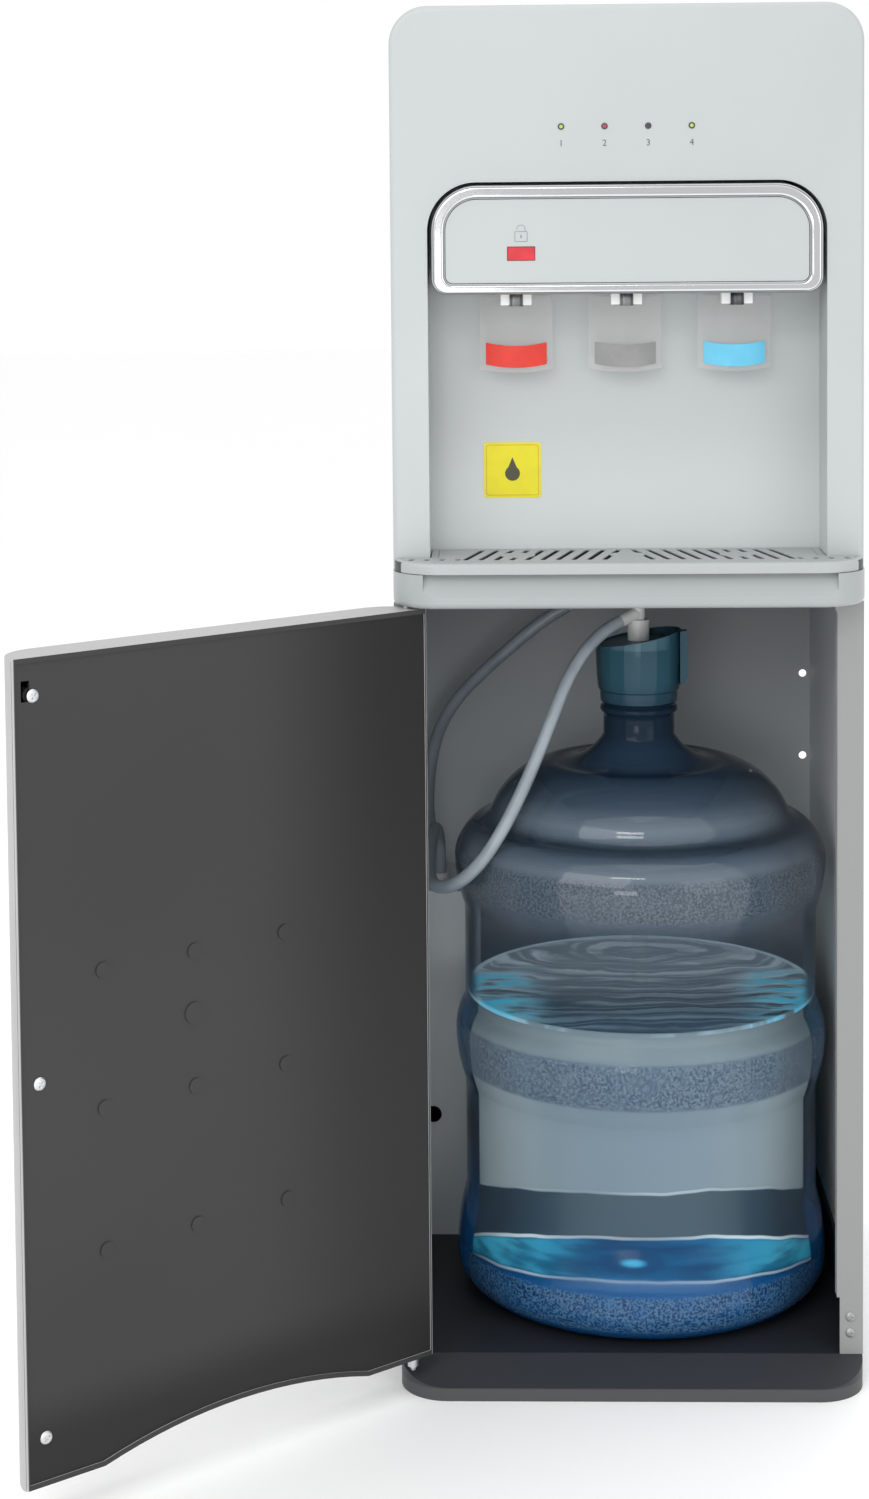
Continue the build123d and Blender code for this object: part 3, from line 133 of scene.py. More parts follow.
class Finish:
    """One material under construction."""

    def __init__(self, name):
        self.material = bpy.data.materials.new(name)
        self.material.use_nodes = True
        self.tree = self.material.node_tree
        self.tree.nodes.clear()
        self.spot = self.node("ShaderNodeTexCoord").outputs["Object"]
        parts = self.node("ShaderNodeSeparateXYZ", sockets={"Vector": self.spot})
        self.x, self.y, self.z = (Value(self.tree, socket) for socket in parts.outputs)

    def node(self, kind, settings=(), sockets=()):
        made = self.tree.nodes.new(kind)
        for key, value in dict(settings).items():
            if key == "stops":
                ramp = made.color_ramp
                for stop, (place, colour) in zip((ramp.elements[0], ramp.elements[1]), (value[0], value[-1])):
                    stop.position = place
                    stop.color = (*colour, 1)
                for place, colour in value[1:-1]:
                    ramp.elements.new(place).color = (*colour, 1)
            elif key == "interpolation":
                made.color_ramp.interpolation = value
            else:
                setattr(made, key, value)
        for key, value in dict(sockets).items():
            self.feed(made.inputs[key], value)
        return made

    def feed(self, socket, value):
        if isinstance(value, Value):
            value = value.socket
        if isinstance(value, bpy.types.NodeSocket):
            self.tree.links.new(value, socket)
        elif isinstance(value, tuple) and len(value) == 3 and len(socket.default_value) == 4:
            socket.default_value = (*value, 1)
        else:
            socket.default_value = value

    def stretched(self, x, y, z):
        """The place on the piece, scaled by its own amount along each axis."""
        node = self.node("ShaderNodeMapping", sockets={"Vector": self.spot, "Scale": (x, y, z)})
        return node.outputs["Vector"]

    def noise(self, scale, detail=2.0, at=None, roughness=0.5):
        sockets = {"Vector": at or self.spot, "Scale": scale, "Detail": detail, "Roughness": roughness}
        return Value(self.tree, self.node("ShaderNodeTexNoise", sockets=sockets).outputs["Fac"])

    def cells(self, scale, at=None):
        sockets = {"Vector": at or self.spot, "Scale": scale}
        return Value(self.tree, self.node("ShaderNodeTexVoronoi", sockets=sockets).outputs["Distance"])

    def rim(self, blend):
        """How far the surface turns away from the eye, for gloss and clear mouldings."""
        node = self.node("ShaderNodeLayerWeight", sockets={"Blend": blend})
        return Value(self.tree, node.outputs["Facing"])

    def upright_rim(self):
        """The same for the bottle's upright wall alone, whatever its bulges do."""
        out = self.node("ShaderNodeCombineXYZ")
        self.feed(out.inputs["X"], self.x - BOTTLE_AXIS[0] * MM)
        self.feed(out.inputs["Y"], self.y - BOTTLE_AXIS[1] * MM)
        unit = self.node("ShaderNodeVectorMath", {"operation": "NORMALIZE"}, {0: out.outputs["Vector"]})
        node = self.node("ShaderNodeLayerWeight", sockets={"Blend": 0.5, "Normal": unit.outputs["Vector"]})
        return Value(self.tree, node.outputs["Facing"])

    def ramp(self, value, stops, interpolation="LINEAR"):
        settings = {"interpolation": interpolation, "stops": stops}
        return self.node("ShaderNodeValToRGB", settings, {"Fac": value}).outputs["Color"]

    def mixed(self, factor, first, second, blend="MIX"):
        node = self.node("ShaderNodeMix", {"data_type": "RGBA", "blend_type": blend})
        self.feed(node.inputs[0], factor)
        self.feed(node.inputs[6], first)
        self.feed(node.inputs[7], second)
        return node.outputs[2]

    def bumps(self, height, strength, distance):
        sockets = {"Height": height, "Strength": strength, "Distance": distance}
        return self.node("ShaderNodeBump", sockets=sockets).outputs["Normal"]

    def relief(self, colour, roughness, grain, strength, depth, detail=3.0, **more):
        """The surface with a fine grain raised on it."""
        normal = self.bumps(self.noise(grain, detail), strength, depth)
        return self.surface(Base_Color=colour, Roughness=roughness, Normal=normal, **more)

    def surface(self, **sockets):
        named = {key.replace("_", " "): value for key, value in sockets.items()}
        shader = self.node("ShaderNodeBsdfPrincipled", sockets=named)
        self.node("ShaderNodeOutputMaterial", sockets={"Surface": shader.outputs["BSDF"]})
        return self.material


# ==== finishes
# Each grain is its scale, strength, depth in metres and, where it isn't the usual one, its detail.
ORANGE_PEEL = (900.0, 0.1, 0.0004, 2.0)
SPARK_GRAIN = (700.0, 0.14, 0.0003)
BAY_GRAIN = (800.0, 0.14, 0.0003)
LINING_GRAIN = (450.0, 0.18, 0.0003)
POLISH = (500.0, 0.05, 0.0002, 2.0)


def coated_panel(name, light, dark, roughness):
    """Powder-coated sheet: faint orange peel and slow changes of tone."""
    f = Finish(name)
    tone = f.noise(7.0, 3.0)
    scuff = f.noise(60.0, 6.0, f.stretched(1, 1, 0.2))
    colour = f.mixed(tone.over(0.35, 0.7), dark, light)
    rough = roughness + 0.1 * scuff.over(0.45, 0.75)
    return f.relief(colour, rough, *ORANGE_PEEL, Coat_Weight=0.12)


def moulded(name, light, dark, roughness):
    """Moulded plastic: fine spark grain, slow tone, slightly uneven gloss."""
    f = Finish(name)
    tone = f.noise(5.0, 2.0)
    wipe = f.noise(28.0, 5.0, f.stretched(1, 1, 0.3))
    colour = f.mixed(tone.over(0.3, 0.75), dark, light)
    rough = roughness + 0.12 * wipe.over(0.4, 0.8)
    return f.relief(colour, rough, *SPARK_GRAIN)


def drawn_metal(name, light, dark, roughness=0.3, along=(1, 1, 40)):
    """Bright metal with fine lines running across one axis."""
    f = Finish(name)
    lines = f.noise(60.0, 4.0, f.stretched(*along))
    stain = f.noise(35.0, 4.0)
    colour = f.mixed(stain.over(0.35, 0.75), dark, light)
    rough = roughness + 0.14 * lines
    return f.surface(Base_Color=colour, Metallic=1.0, Roughness=rough, Normal=f.bumps(lines, 0.12, 0.0002))


def chrome_with_painted_reflections(name):
    """Bright plate whose rounded edges carry painted reflections: light and dark lines by how far the surface
    turns from the eye.
    """
    f = Finish(name)
    haze = f.noise(120.0, 4.0)
    stops = [
        (0.0, (0.5, 0.515, 0.52)),
        (0.06, (0.82, 0.83, 0.84)),
        (0.14, (0.1, 0.105, 0.11)),
        (0.26, (0.42, 0.43, 0.44)),
        (0.42, (0.92, 0.93, 0.94)),
        (0.62, (0.14, 0.145, 0.15)),
        (0.9, (0.48, 0.49, 0.5)),
    ]
    # Painted reflections: light and dark lines over the facing, in place of the studio seen in the chrome.
    lines = f.ramp(f.rim(0.5), stops)
    colour = f.mixed(0.1 * haze, lines, (0.5, 0.51, 0.52))
    return f.surface(Base_Color=colour, Metallic=1.0, Roughness=0.1 + 0.06 * haze)


def lining_painted_by_height(name, head_tone_as_lit, middle_tone_as_lit, foot_tone_as_lit):
    """Grey lining painted with light and shade by height: each tone is how the lining looks lit at its head,
    its middle and its foot, darkest at the head under the ceiling.
    """
    f = Finish(name)
    tone = f.noise(4.0, 3.0)
    stops = [(0.02, foot_tone_as_lit), (0.36, middle_tone_as_lit), (0.62, middle_tone_as_lit), (0.96, head_tone_as_lit)]
    # Painted light and shade: the tone follows height, not the lining's own colour.
    height = f.ramp(f.z / 0.55, stops)
    colour = f.mixed(0.25 * tone, height, foot_tone_as_lit)
    return f.relief(colour, 0.46 + 0.1 * tone, *BAY_GRAIN)


def door_lining(name):
    """Dark vacuum-formed lining with painted shade beside its hinge, stronger higher up; it also turns darker
    towards its foot.
    """
    f = Finish(name)
    # Painted shade: a mask beside the hinge, stronger higher up, that takes the lining almost to black.
    near = f.x.over(-0.26, -0.155) * (0.55 + 0.45 * f.z.over(0.1, 0.5))
    # Darker towards the bottom of the door.
    foot = 1.0 - (f.z + 0.02 * f.noise(5.0, 2.0)).over(0.06, 0.1)
    tone = f.noise(3.0, 2.0)
    out = f.mixed(tone.over(0.3, 0.7), (0.03, 0.0295, 0.0295), (0.036, 0.0355, 0.0355))
    colour = f.mixed(0.8 * foot, f.mixed(near, out, (0.005, 0.005, 0.005)), (0.006, 0.006, 0.006))
    return f.relief(colour, 0.44 + 0.1 * tone, *LINING_GRAIN, Specular_IOR_Level=0.35)


def clear_probe(name):
    """White head over a clear stick."""
    f = Finish(name)
    head = f.z.over(0.488, 0.4895)
    tone = f.noise(60.0, 3.0)
    colour = f.mixed(tone.over(0.3, 0.75), (0.66, 0.67, 0.66), (0.74, 0.75, 0.74))
    return f.surface(Base_Color=colour, Roughness=0.24 + 0.06 * tone, Alpha=0.05 + 0.95 * head)


def frosted(name):
    """Clear moulding with a fine frost; its edges catch more light than its middle."""
    f = Finish(name)
    edge = f.rim(0.35)
    frost = f.noise(600.0, 3.0)
    colour = f.mixed(frost.over(0.3, 0.8), (0.62, 0.6, 0.59), (0.72, 0.71, 0.7))
    clear = 0.12 + 0.28 * edge.over(0.55, 0.95)
    return f.surface(Base_Color=colour, Roughness=0.28, Alpha=clear, Normal=f.bumps(frost, 0.08, 0.0002))


def drip_shell(name, light, dark):
    """The tray's moulding, with painted shade down in its basin."""
    f = Finish(name)
    tone = f.noise(5.0, 2.0)
    # Painted shade: the basin behind the lip and below its rim is taken almost to black.
    inside = f.y.over(-0.1545, -0.1535) * (1.0 - f.z.over(0.5748, 0.5756))
    colour = f.mixed(inside, f.mixed(tone.over(0.3, 0.75), dark, light), (0.016, 0.017, 0.018))
    return f.relief(colour, 0.34 + 0.1 * tone, *SPARK_GRAIN)


def side_panel_with_shaded_flange(name, light, dark, flange):
    """Powder-coated side panel; the narrow front flange beside the door carries painted shade, a darker grey
    of the same coat.
    """
    f = Finish(name)
    tone = f.noise(7.0, 3.0)
    # Painted shade: the flange's front face takes the darker flange tone.
    front = 1.0 - f.y.over(-0.1364, -0.1352)
    colour = f.mixed(front, f.mixed(tone.over(0.35, 0.7), dark, light), flange)
    return f.relief(colour, 0.36 + 0.1 * tone, *ORANGE_PEEL)


def door_shell(name, light, dark, hem_shade_tone):
    """The door's painted skin; the hem that folds over the lining is painted near-black, as painted shade."""
    f = Finish(name)
    tone = f.noise(7.0, 3.0)
    turn = math.radians(OPEN_DEGREES)
    closed_y = (f.x - PIN[0] * MM) * math.sin(turn) + (f.y - PIN[1] * MM) * math.cos(turn) + PIN[1] * MM
    # Painted shade: the hem's faces behind the lining's face take the near-black tone.
    folded = closed_y.over(HEM_FACE * MM - 0.0004, HEM_FACE * MM - 0.0001)
    colour = f.mixed(folded, f.mixed(tone.over(0.35, 0.7), dark, light), hem_shade_tone)
    return f.relief(colour, 0.36 + 0.1 * tone, *ORANGE_PEEL)


def base_painted_light_and_shade(name, edge, slope, floor):
    """The dark base in painted light and shade: its low front edge is painted lighter than the slope above
    it, and the bay's floor darker still.
    """
    f = Finish(name)
    tone = f.noise(5.0, 3.0)
    # Painted light and shade on one moulding: the front lip lighter, the nose above it and the bay's floor
    # darker.
    front = f.mixed(f.z.over(0.008, 0.0092), edge, slope)
    colour = f.mixed(f.y.over(-0.138, -0.134), front, floor)
    colour = f.mixed(0.2 * tone, colour, (0.014, 0.015, 0.018))
    return f.relief(colour, 0.44 + 0.1 * tone, *SPARK_GRAIN)


def recess_lining_painted_light(name, foot_tone_as_lit, head_tone_as_lit):
    """The recess wall, with painted light making it a little paler towards its foot."""
    f = Finish(name)
    tone = f.noise(5.0, 2.0)
    # Painted light: the recess is painted paler at its foot than at its head.
    height = f.mixed(f.z.over(0.575, 0.68), foot_tone_as_lit, head_tone_as_lit)
    colour = f.mixed(0.12 * tone, height, (0.4, 0.43, 0.43))
    return f.relief(colour, 0.4 + 0.1 * tone, *SPARK_GRAIN)


def gloss_colour(name, colour, shade, roughness=0.22):
    """Smooth coloured plastic, enamel or ink."""
    f = Finish(name)
    tone = f.noise(90.0, 3.0)
    mixed = f.mixed(tone.over(0.3, 0.75), shade, colour)
    return f.relief(mixed, roughness + 0.08 * tone, *POLISH)


def insulation(name, light, dark):
    """Open-celled foam."""
    f = Finish(name)
    cell = f.cells(260.0)
    tone = f.noise(20.0, 5.0)
    colour = f.mixed(tone.over(0.3, 0.8), dark, light)
    return f.surface(Base_Color=colour, Roughness=0.9, Normal=f.bumps(cell, 0.6, 0.001))


def lamp_lenses(name):
    """Four tinted lenses in dark rings, told apart by where they stand along X."""
    f = Finish(name)
    heights = [corner[2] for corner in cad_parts["indicator_lenses"].bound_box]
    middle = (min(heights) + max(heights)) / 2
    pitch = (LAMP_PLACES[1] - LAMP_PLACES[0]) * MM
    across = f.x + 2 * pitch
    from_lamp = across.maths("MODULO", across, pitch) - pitch / 2
    up = f.z - middle
    ring = (from_lamp * from_lamp + up * up).root().over(0.001, 0.0014)
    lime, ruby, smoke = (0.36, 0.42, 0.08), (0.34, 0.03, 0.06), (0.03, 0.035, 0.045)
    stops = [(0.0, lime), (0.2, ruby), (0.5, smoke), (0.8, lime)]
    colour = f.mixed(ring, f.ramp(f.x * 10.0 + 0.5, stops, "CONSTANT"), (0.035, 0.035, 0.035))
    core = f.noise(900.0, 2.0)
    glow = f.mixed((1.0 - ring) * (0.5 + 0.5 * core), (0.0, 0.0, 0.0), colour)
    shine = {"Roughness": 0.1, "Coat_Weight": 0.4, "Emission_Strength": 0.3}
    return f.surface(Base_Color=colour, Emission_Color=glow, **shine)


def tilted(f, foot, rise):
    """Height over a ring that lies at foot beside the axis and climbs towards front and back."""
    wander = (f.noise(14.0, 2.0) - 0.5) * 0.01
    away = (f.y - BOTTLE_AXIS[1] * MM).size()
    return f.z - foot - away * rise + wander


def tinted_bottle(name):
    """Blue clear moulding: deep at its edges, stippled under each bulge, denser in dome and foot, with
    painted highlights on its shoulder bulge and lower dome and painted shade in the groove between them.
    """
    f = Finish(name)
    dome = f.z.over(0.335, 0.365)
    edge = f.upright_rim().over(0.62, 0.8) * (1.0 - dome) + f.rim(0.5).over(0.45, 0.8) * dome
    stipple = f.noise(600.0, 2.0)
    patchy = f.noise(60.0, 3.0).over(0.25, 0.6)
    low = f.z.band(0.032, 0.055, 0.004)
    middle = f.z.band(0.19, 0.219, 0.003)
    high = f.z.band(0.322, 0.345, 0.006)
    bands = (low + middle + high) * (0.7 + 0.3 * patchy) * (1.0 - 0.7 * edge)
    foot = 1.0 - tilted(f, 0.05, 0.128).over(-0.006, 0.004)
    dense = f.z.over(0.3, 0.33)
    # The blue's tint by height with painted light: a painted highlight on the shoulder bulge (0.705), painted
    # shade in the groove (0.735), and a painted highlight on the lower dome (0.745 to 0.757).
    stops = [
        (0.02, (0.006, 0.06, 0.19)),
        (0.09, (0.01, 0.11, 0.33)),
        (0.16, (0.016, 0.115, 0.3)),
        (0.24, (0.035, 0.075, 0.12)),
        (0.4, (0.04, 0.11, 0.2)),
        (0.46, (0.04, 0.11, 0.2)),
        (0.52, (0.045, 0.08, 0.125)),
        (0.66, (0.08, 0.115, 0.16)),
        (0.705, (0.14, 0.182, 0.23)),
        (0.722, (0.07, 0.105, 0.15)),
        (0.735, (0.014, 0.028, 0.046)),
        (0.745, (0.11, 0.155, 0.205)),
        (0.757, (0.15, 0.198, 0.25)),
        (0.785, (0.055, 0.088, 0.13)),
        (0.825, (0.026, 0.052, 0.09)),
        (0.86, (0.012, 0.026, 0.048)),
        (0.95, (0.01, 0.022, 0.042)),
    ]
    film_tint_and_painted_light = f.ramp(f.z * 2.0, stops)
    deep_stops = [
        (0.08, (0.014, 0.12, 0.34)),
        (0.2, (0.01, 0.06, 0.16)),
        (0.3, (0.005, 0.014, 0.028)),
        (0.38, (0.02, 0.09, 0.19)),
        (0.46, (0.024, 0.105, 0.22)),
        (0.54, (0.008, 0.022, 0.042)),
        (0.7, (0.01, 0.026, 0.05)),
    ]
    colour = f.mixed(edge, film_tint_and_painted_light, f.ramp(f.z * 2.0, deep_stops))
    grains = stipple.over(0.38, 0.62)
    dots = f.mixed(grains, (0.042, 0.062, 0.088), (0.1, 0.132, 0.165))
    wet_dots = f.mixed(grains, (0.02, 0.06, 0.125), (0.175, 0.25, 0.33))
    low_dots = f.mixed(grains, (0.004, 0.034, 0.115), (0.06, 0.15, 0.27))
    pale = f.mixed(f.z.over(0.24, 0.3), f.mixed(f.z.over(0.06, 0.14), low_dots, wet_dots), dots)
    cover = 0.05 + 0.1 * f.z.over(0.236, 0.246) + 0.62 * foot + 0.56 * dense + 0.34 * f.z.over(0.4, 0.425)
    clear = cover + bands * 0.5 * (1.0 - 0.7 * dense) + edge * 0.7 * (1.0 - 0.6 * dense)
    return f.surface(
        Base_Color=f.mixed(bands, colour, pale),
        Roughness=0.12 + 0.22 * bands,
        Alpha=clear,
        Coat_Weight=(0.4 + 0.45 * dense) * (1.0 - edge) * (1.0 - f.z.over(0.395, 0.415)),
        Normal=f.bumps(stipple * bands, 0.5, 0.0006),
        Specular_IOR_Level=0.12,
    )


def still_water(name):
    """The water as it stands in the bottle, in painted light: a pale body and dark edges standing in for the
    lit bay seen bent through it, bright bends, lines and spots over its foot as painted caustics and
    highlights, a rippled top with painted reflections, and emission glow though it is no lamp.
    """
    f = Finish(name)
    turn = f.upright_rim()
    edge = turn.over(0.66, 0.682)
    drift = f.noise(6.0, 2.0)
    streaks = f.noise(26.0, 3.0, f.stretched(0.35, 1.0, 3.0))
    # Painted light: the pale body stands in for the lit bay seen through the water, paler at the sides than
    # in the middle to undo the round body's shading.
    body = f.mixed(turn.over(0.02, 0.5), (0.17, 0.235, 0.29), (0.37, 0.455, 0.49))
    body = f.mixed(0.4 * drift, body, (0.215, 0.3, 0.35))
    body = f.mixed(f.z.over(0.212, 0.23), body, (0.19, 0.25, 0.28))
    under = tilted(f, 0.093, 0.286)
    lens = tilted(f, 0.052, 0.358)
    sill = tilted(f, 0.05, 0.128)
    across = (f.x - BOTTLE_AXIS[0] * MM).size()
    # Painted shade: a dark band below the ring at about 93 mm, darker towards the sides.
    painted_dark_band = f.mixed(across.over(0.03, 0.11), (0.062, 0.1, 0.13), (0.026, 0.05, 0.074))
    colour = f.mixed(1.0 - under.over(-0.002, 0.002), body, painted_dark_band)
    # Painted caustic: streaky blue in the lens band over the foot.
    blue = f.mixed(streaks.over(0.35, 0.65), (0.004, 0.045, 0.13), (0.008, 0.115, 0.27))
    colour = f.mixed(1.0 - lens.over(-0.002, 0.001), colour, blue)
    colour = f.mixed(1.0 - sill.over(-0.003, 0.002), colour, (0.006, 0.055, 0.17))
    within = (1.0 - lens.over(-0.003, 0.0)) * sill.over(0.0, 0.003)
    # Painted caustic glow towards the sides, between the lens and the sill.
    glow = within * across.over(0.03, 0.105) * (0.35 + 0.65 * streaks.over(0.38, 0.58))
    colour = f.mixed(glow, colour, (0.05, 0.34, 0.5))
    spot_x = ((f.x - 0.002) / 0.02).size()
    spot_z = ((f.z - 0.08) / 0.0062).size()
    from_spot = (spot_x * spot_x + spot_z * spot_z).root()
    ahead = 1.0 - f.y.over(-0.1, -0.05)
    # Painted sheen: a soft pale band just under the sill at the front middle.
    sheen = sill.band(-0.0055, -0.0005, 0.003) * (1.0 - across.over(0.02, 0.085)) * ahead
    colour = f.mixed(0.5 * sheen, colour, (0.3, 0.46, 0.62))
    # Painted shade: a dark ring round the bright spot.
    colour = f.mixed(from_spot.band(0.55, 1.0, 0.3) * ahead * 0.7, colour, (0.004, 0.045, 0.13))
    # Painted caustic: the bright spot at the front of the foot.
    spot = (1.0 - from_spot.over(0.15, 0.6)) * ahead
    colour = f.mixed(spot * 0.8, colour, (0.05, 0.36, 0.6))
    # Painted highlights: bright thin lines along the lens, the sill and the ring above them.
    lines = lens.band(-0.0006, 0.0006, 0.001) + 0.8 * sill.band(-0.0004, 0.0005, 0.001)
    lines = lines * (0.3 + 0.7 * across.over(0.0, 0.09)) + 0.4 * under.band(-0.0005, 0.0004, 0.001)
    lines = lines * (0.35 + 0.65 * f.noise(9.0, 2.0).over(0.3, 0.6))
    colour = f.mixed(lines, colour, (0.66, 0.82, 0.88))
    # Painted shade: the water's edges turn deep blue and near-black, standing in for the bay bent away at its
    # sides.
    edge_shade_stops = [
        (0.16, (0.01, 0.07, 0.2)),
        (0.26, (0.006, 0.015, 0.028)),
        (0.36, (0.007, 0.017, 0.03)),
        (0.42, (0.02, 0.08, 0.16)),
        (0.48, (0.022, 0.06, 0.1)),
    ]
    colour = f.mixed(edge, colour, f.ramp(f.z * 2.0, edge_shade_stops))
    top = f.z.over(0.2388, 0.2394)
    depth = f.y - BOTTLE_AXIS[1] * MM
    from_axis = (across * across + depth * depth).root()
    near = f.y - 0.085
    bent = (across * across * 0.3 + near * near).root() + (f.noise(14.0, 4.0) - 0.5) * 0.04
    swell = (bent * 330.0).wave() * 0.5 + 0.5
    fine_swell = (bent * 800.0 + 8.0 * f.noise(18.0, 2.0)).wave() * 0.5 + 0.5
    broken = f.noise(16.0, 3.0, f.stretched(0.6, 3.0, 0.1)).over(0.36, 0.58)
    # Painted reflections on the rippled top: pale ripple tops, a paler back, cyan glow at the sides and a
    # pale line round its rim.
    crest_highlights = (swell.over(0.4, 0.95) * 0.85 + fine_swell.over(0.6, 1.0) * 0.5) * broken
    side_glow = across.over(0.055, 0.108) * f.noise(34.0, 4.0, f.stretched(1.0, 2.2, 0.1)).over(0.36, 0.6)
    side_glow = side_glow * (1.0 - 0.9 * f.y.over(0.005, 0.05))
    back = f.y.over(-0.07, 0.06)
    face = f.mixed(back, (0.03, 0.07, 0.105), (0.42, 0.49, 0.56))
    face = f.mixed(crest_highlights, face, f.mixed(back, (0.3, 0.46, 0.54), (0.85, 0.9, 0.94)))
    face = f.mixed(side_glow, face, (0.05, 0.56, 0.82))
    shore_highlight = from_axis.over(0.1236, 0.1246) * (0.25 + 0.75 * f.y.over(-0.08, 0.0))
    face = f.mixed(shore_highlight, face, (0.62, 0.8, 0.88))
    # Painted glow by emission, though the water is no lamp: over the painted caustics of the foot and across
    # the top.
    lit_foot = (0.35 * glow + 0.4 * spot) * (1.0 - edge) * (1.0 - top)
    lit_top = 1.4 * side_glow + 0.6 * crest_highlights * back + 0.5 * shore_highlight + 0.25 * back
    light = lit_foot + lit_top * top
    lamp = f.mixed(top * (1.0 - side_glow), (0.05, 0.5, 0.75), (0.42, 0.56, 0.64))
    return f.surface(
        Base_Color=f.mixed(top, colour, face),
        Roughness=0.16 + 0.05 * drift,
        Emission_Color=f.mixed(light, (0.0, 0.0, 0.0), lamp),
        Emission_Strength=0.35,
        Specular_IOR_Level=0.15,
    )


def teal_cap(name):
    """Dark teal closure with a paler disc and deeper edges."""
    f = Finish(name)
    tone = f.noise(30.0, 3.0)
    streak = f.noise(40.0, 3.0, f.stretched(1, 1, 0.08))
    edge = f.rim(0.5).over(0.35, 0.75)
    low = f.z.over(0.45, 0.475)
    body = f.mixed(low * (0.6 + 0.4 * tone), (0.02, 0.055, 0.09), (0.026, 0.095, 0.135))
    body = f.mixed(streak.over(0.45, 0.75), body, (0.02, 0.072, 0.105))
    colour = f.mixed(edge, body, (0.01, 0.04, 0.052))
    x = f.x - BOTTLE_AXIS[0] * MM
    disc = 1.0 - (x * x + f.y * f.y).root().over(0.029, 0.0298)
    colour = f.mixed(disc * f.z.over(0.4925, 0.4935), colour, (0.07, 0.155, 0.2))
    shine = {"Alpha": 0.95, "Coat_Weight": 0.1, "Specular_IOR_Level": 0.2}
    return f.surface(Base_Color=colour, Roughness=0.24 + 0.1 * tone, **shine)


def soft_hose(name):
    """Milky tube, a little cloudy, darker along its edges."""
    f = Finish(name)
    cloud = f.noise(45.0, 4.0)
    edge = f.rim(0.5).over(0.25, 0.8)
    colour = f.mixed(cloud.over(0.3, 0.75), (0.33, 0.385, 0.43), (0.41, 0.465, 0.515))
    colour = f.mixed(edge, colour, (0.24, 0.29, 0.34))
    return f.relief(colour, 0.3 + 0.1 * cloud, *POLISH, Alpha=0.84, Coat_Weight=0.2)


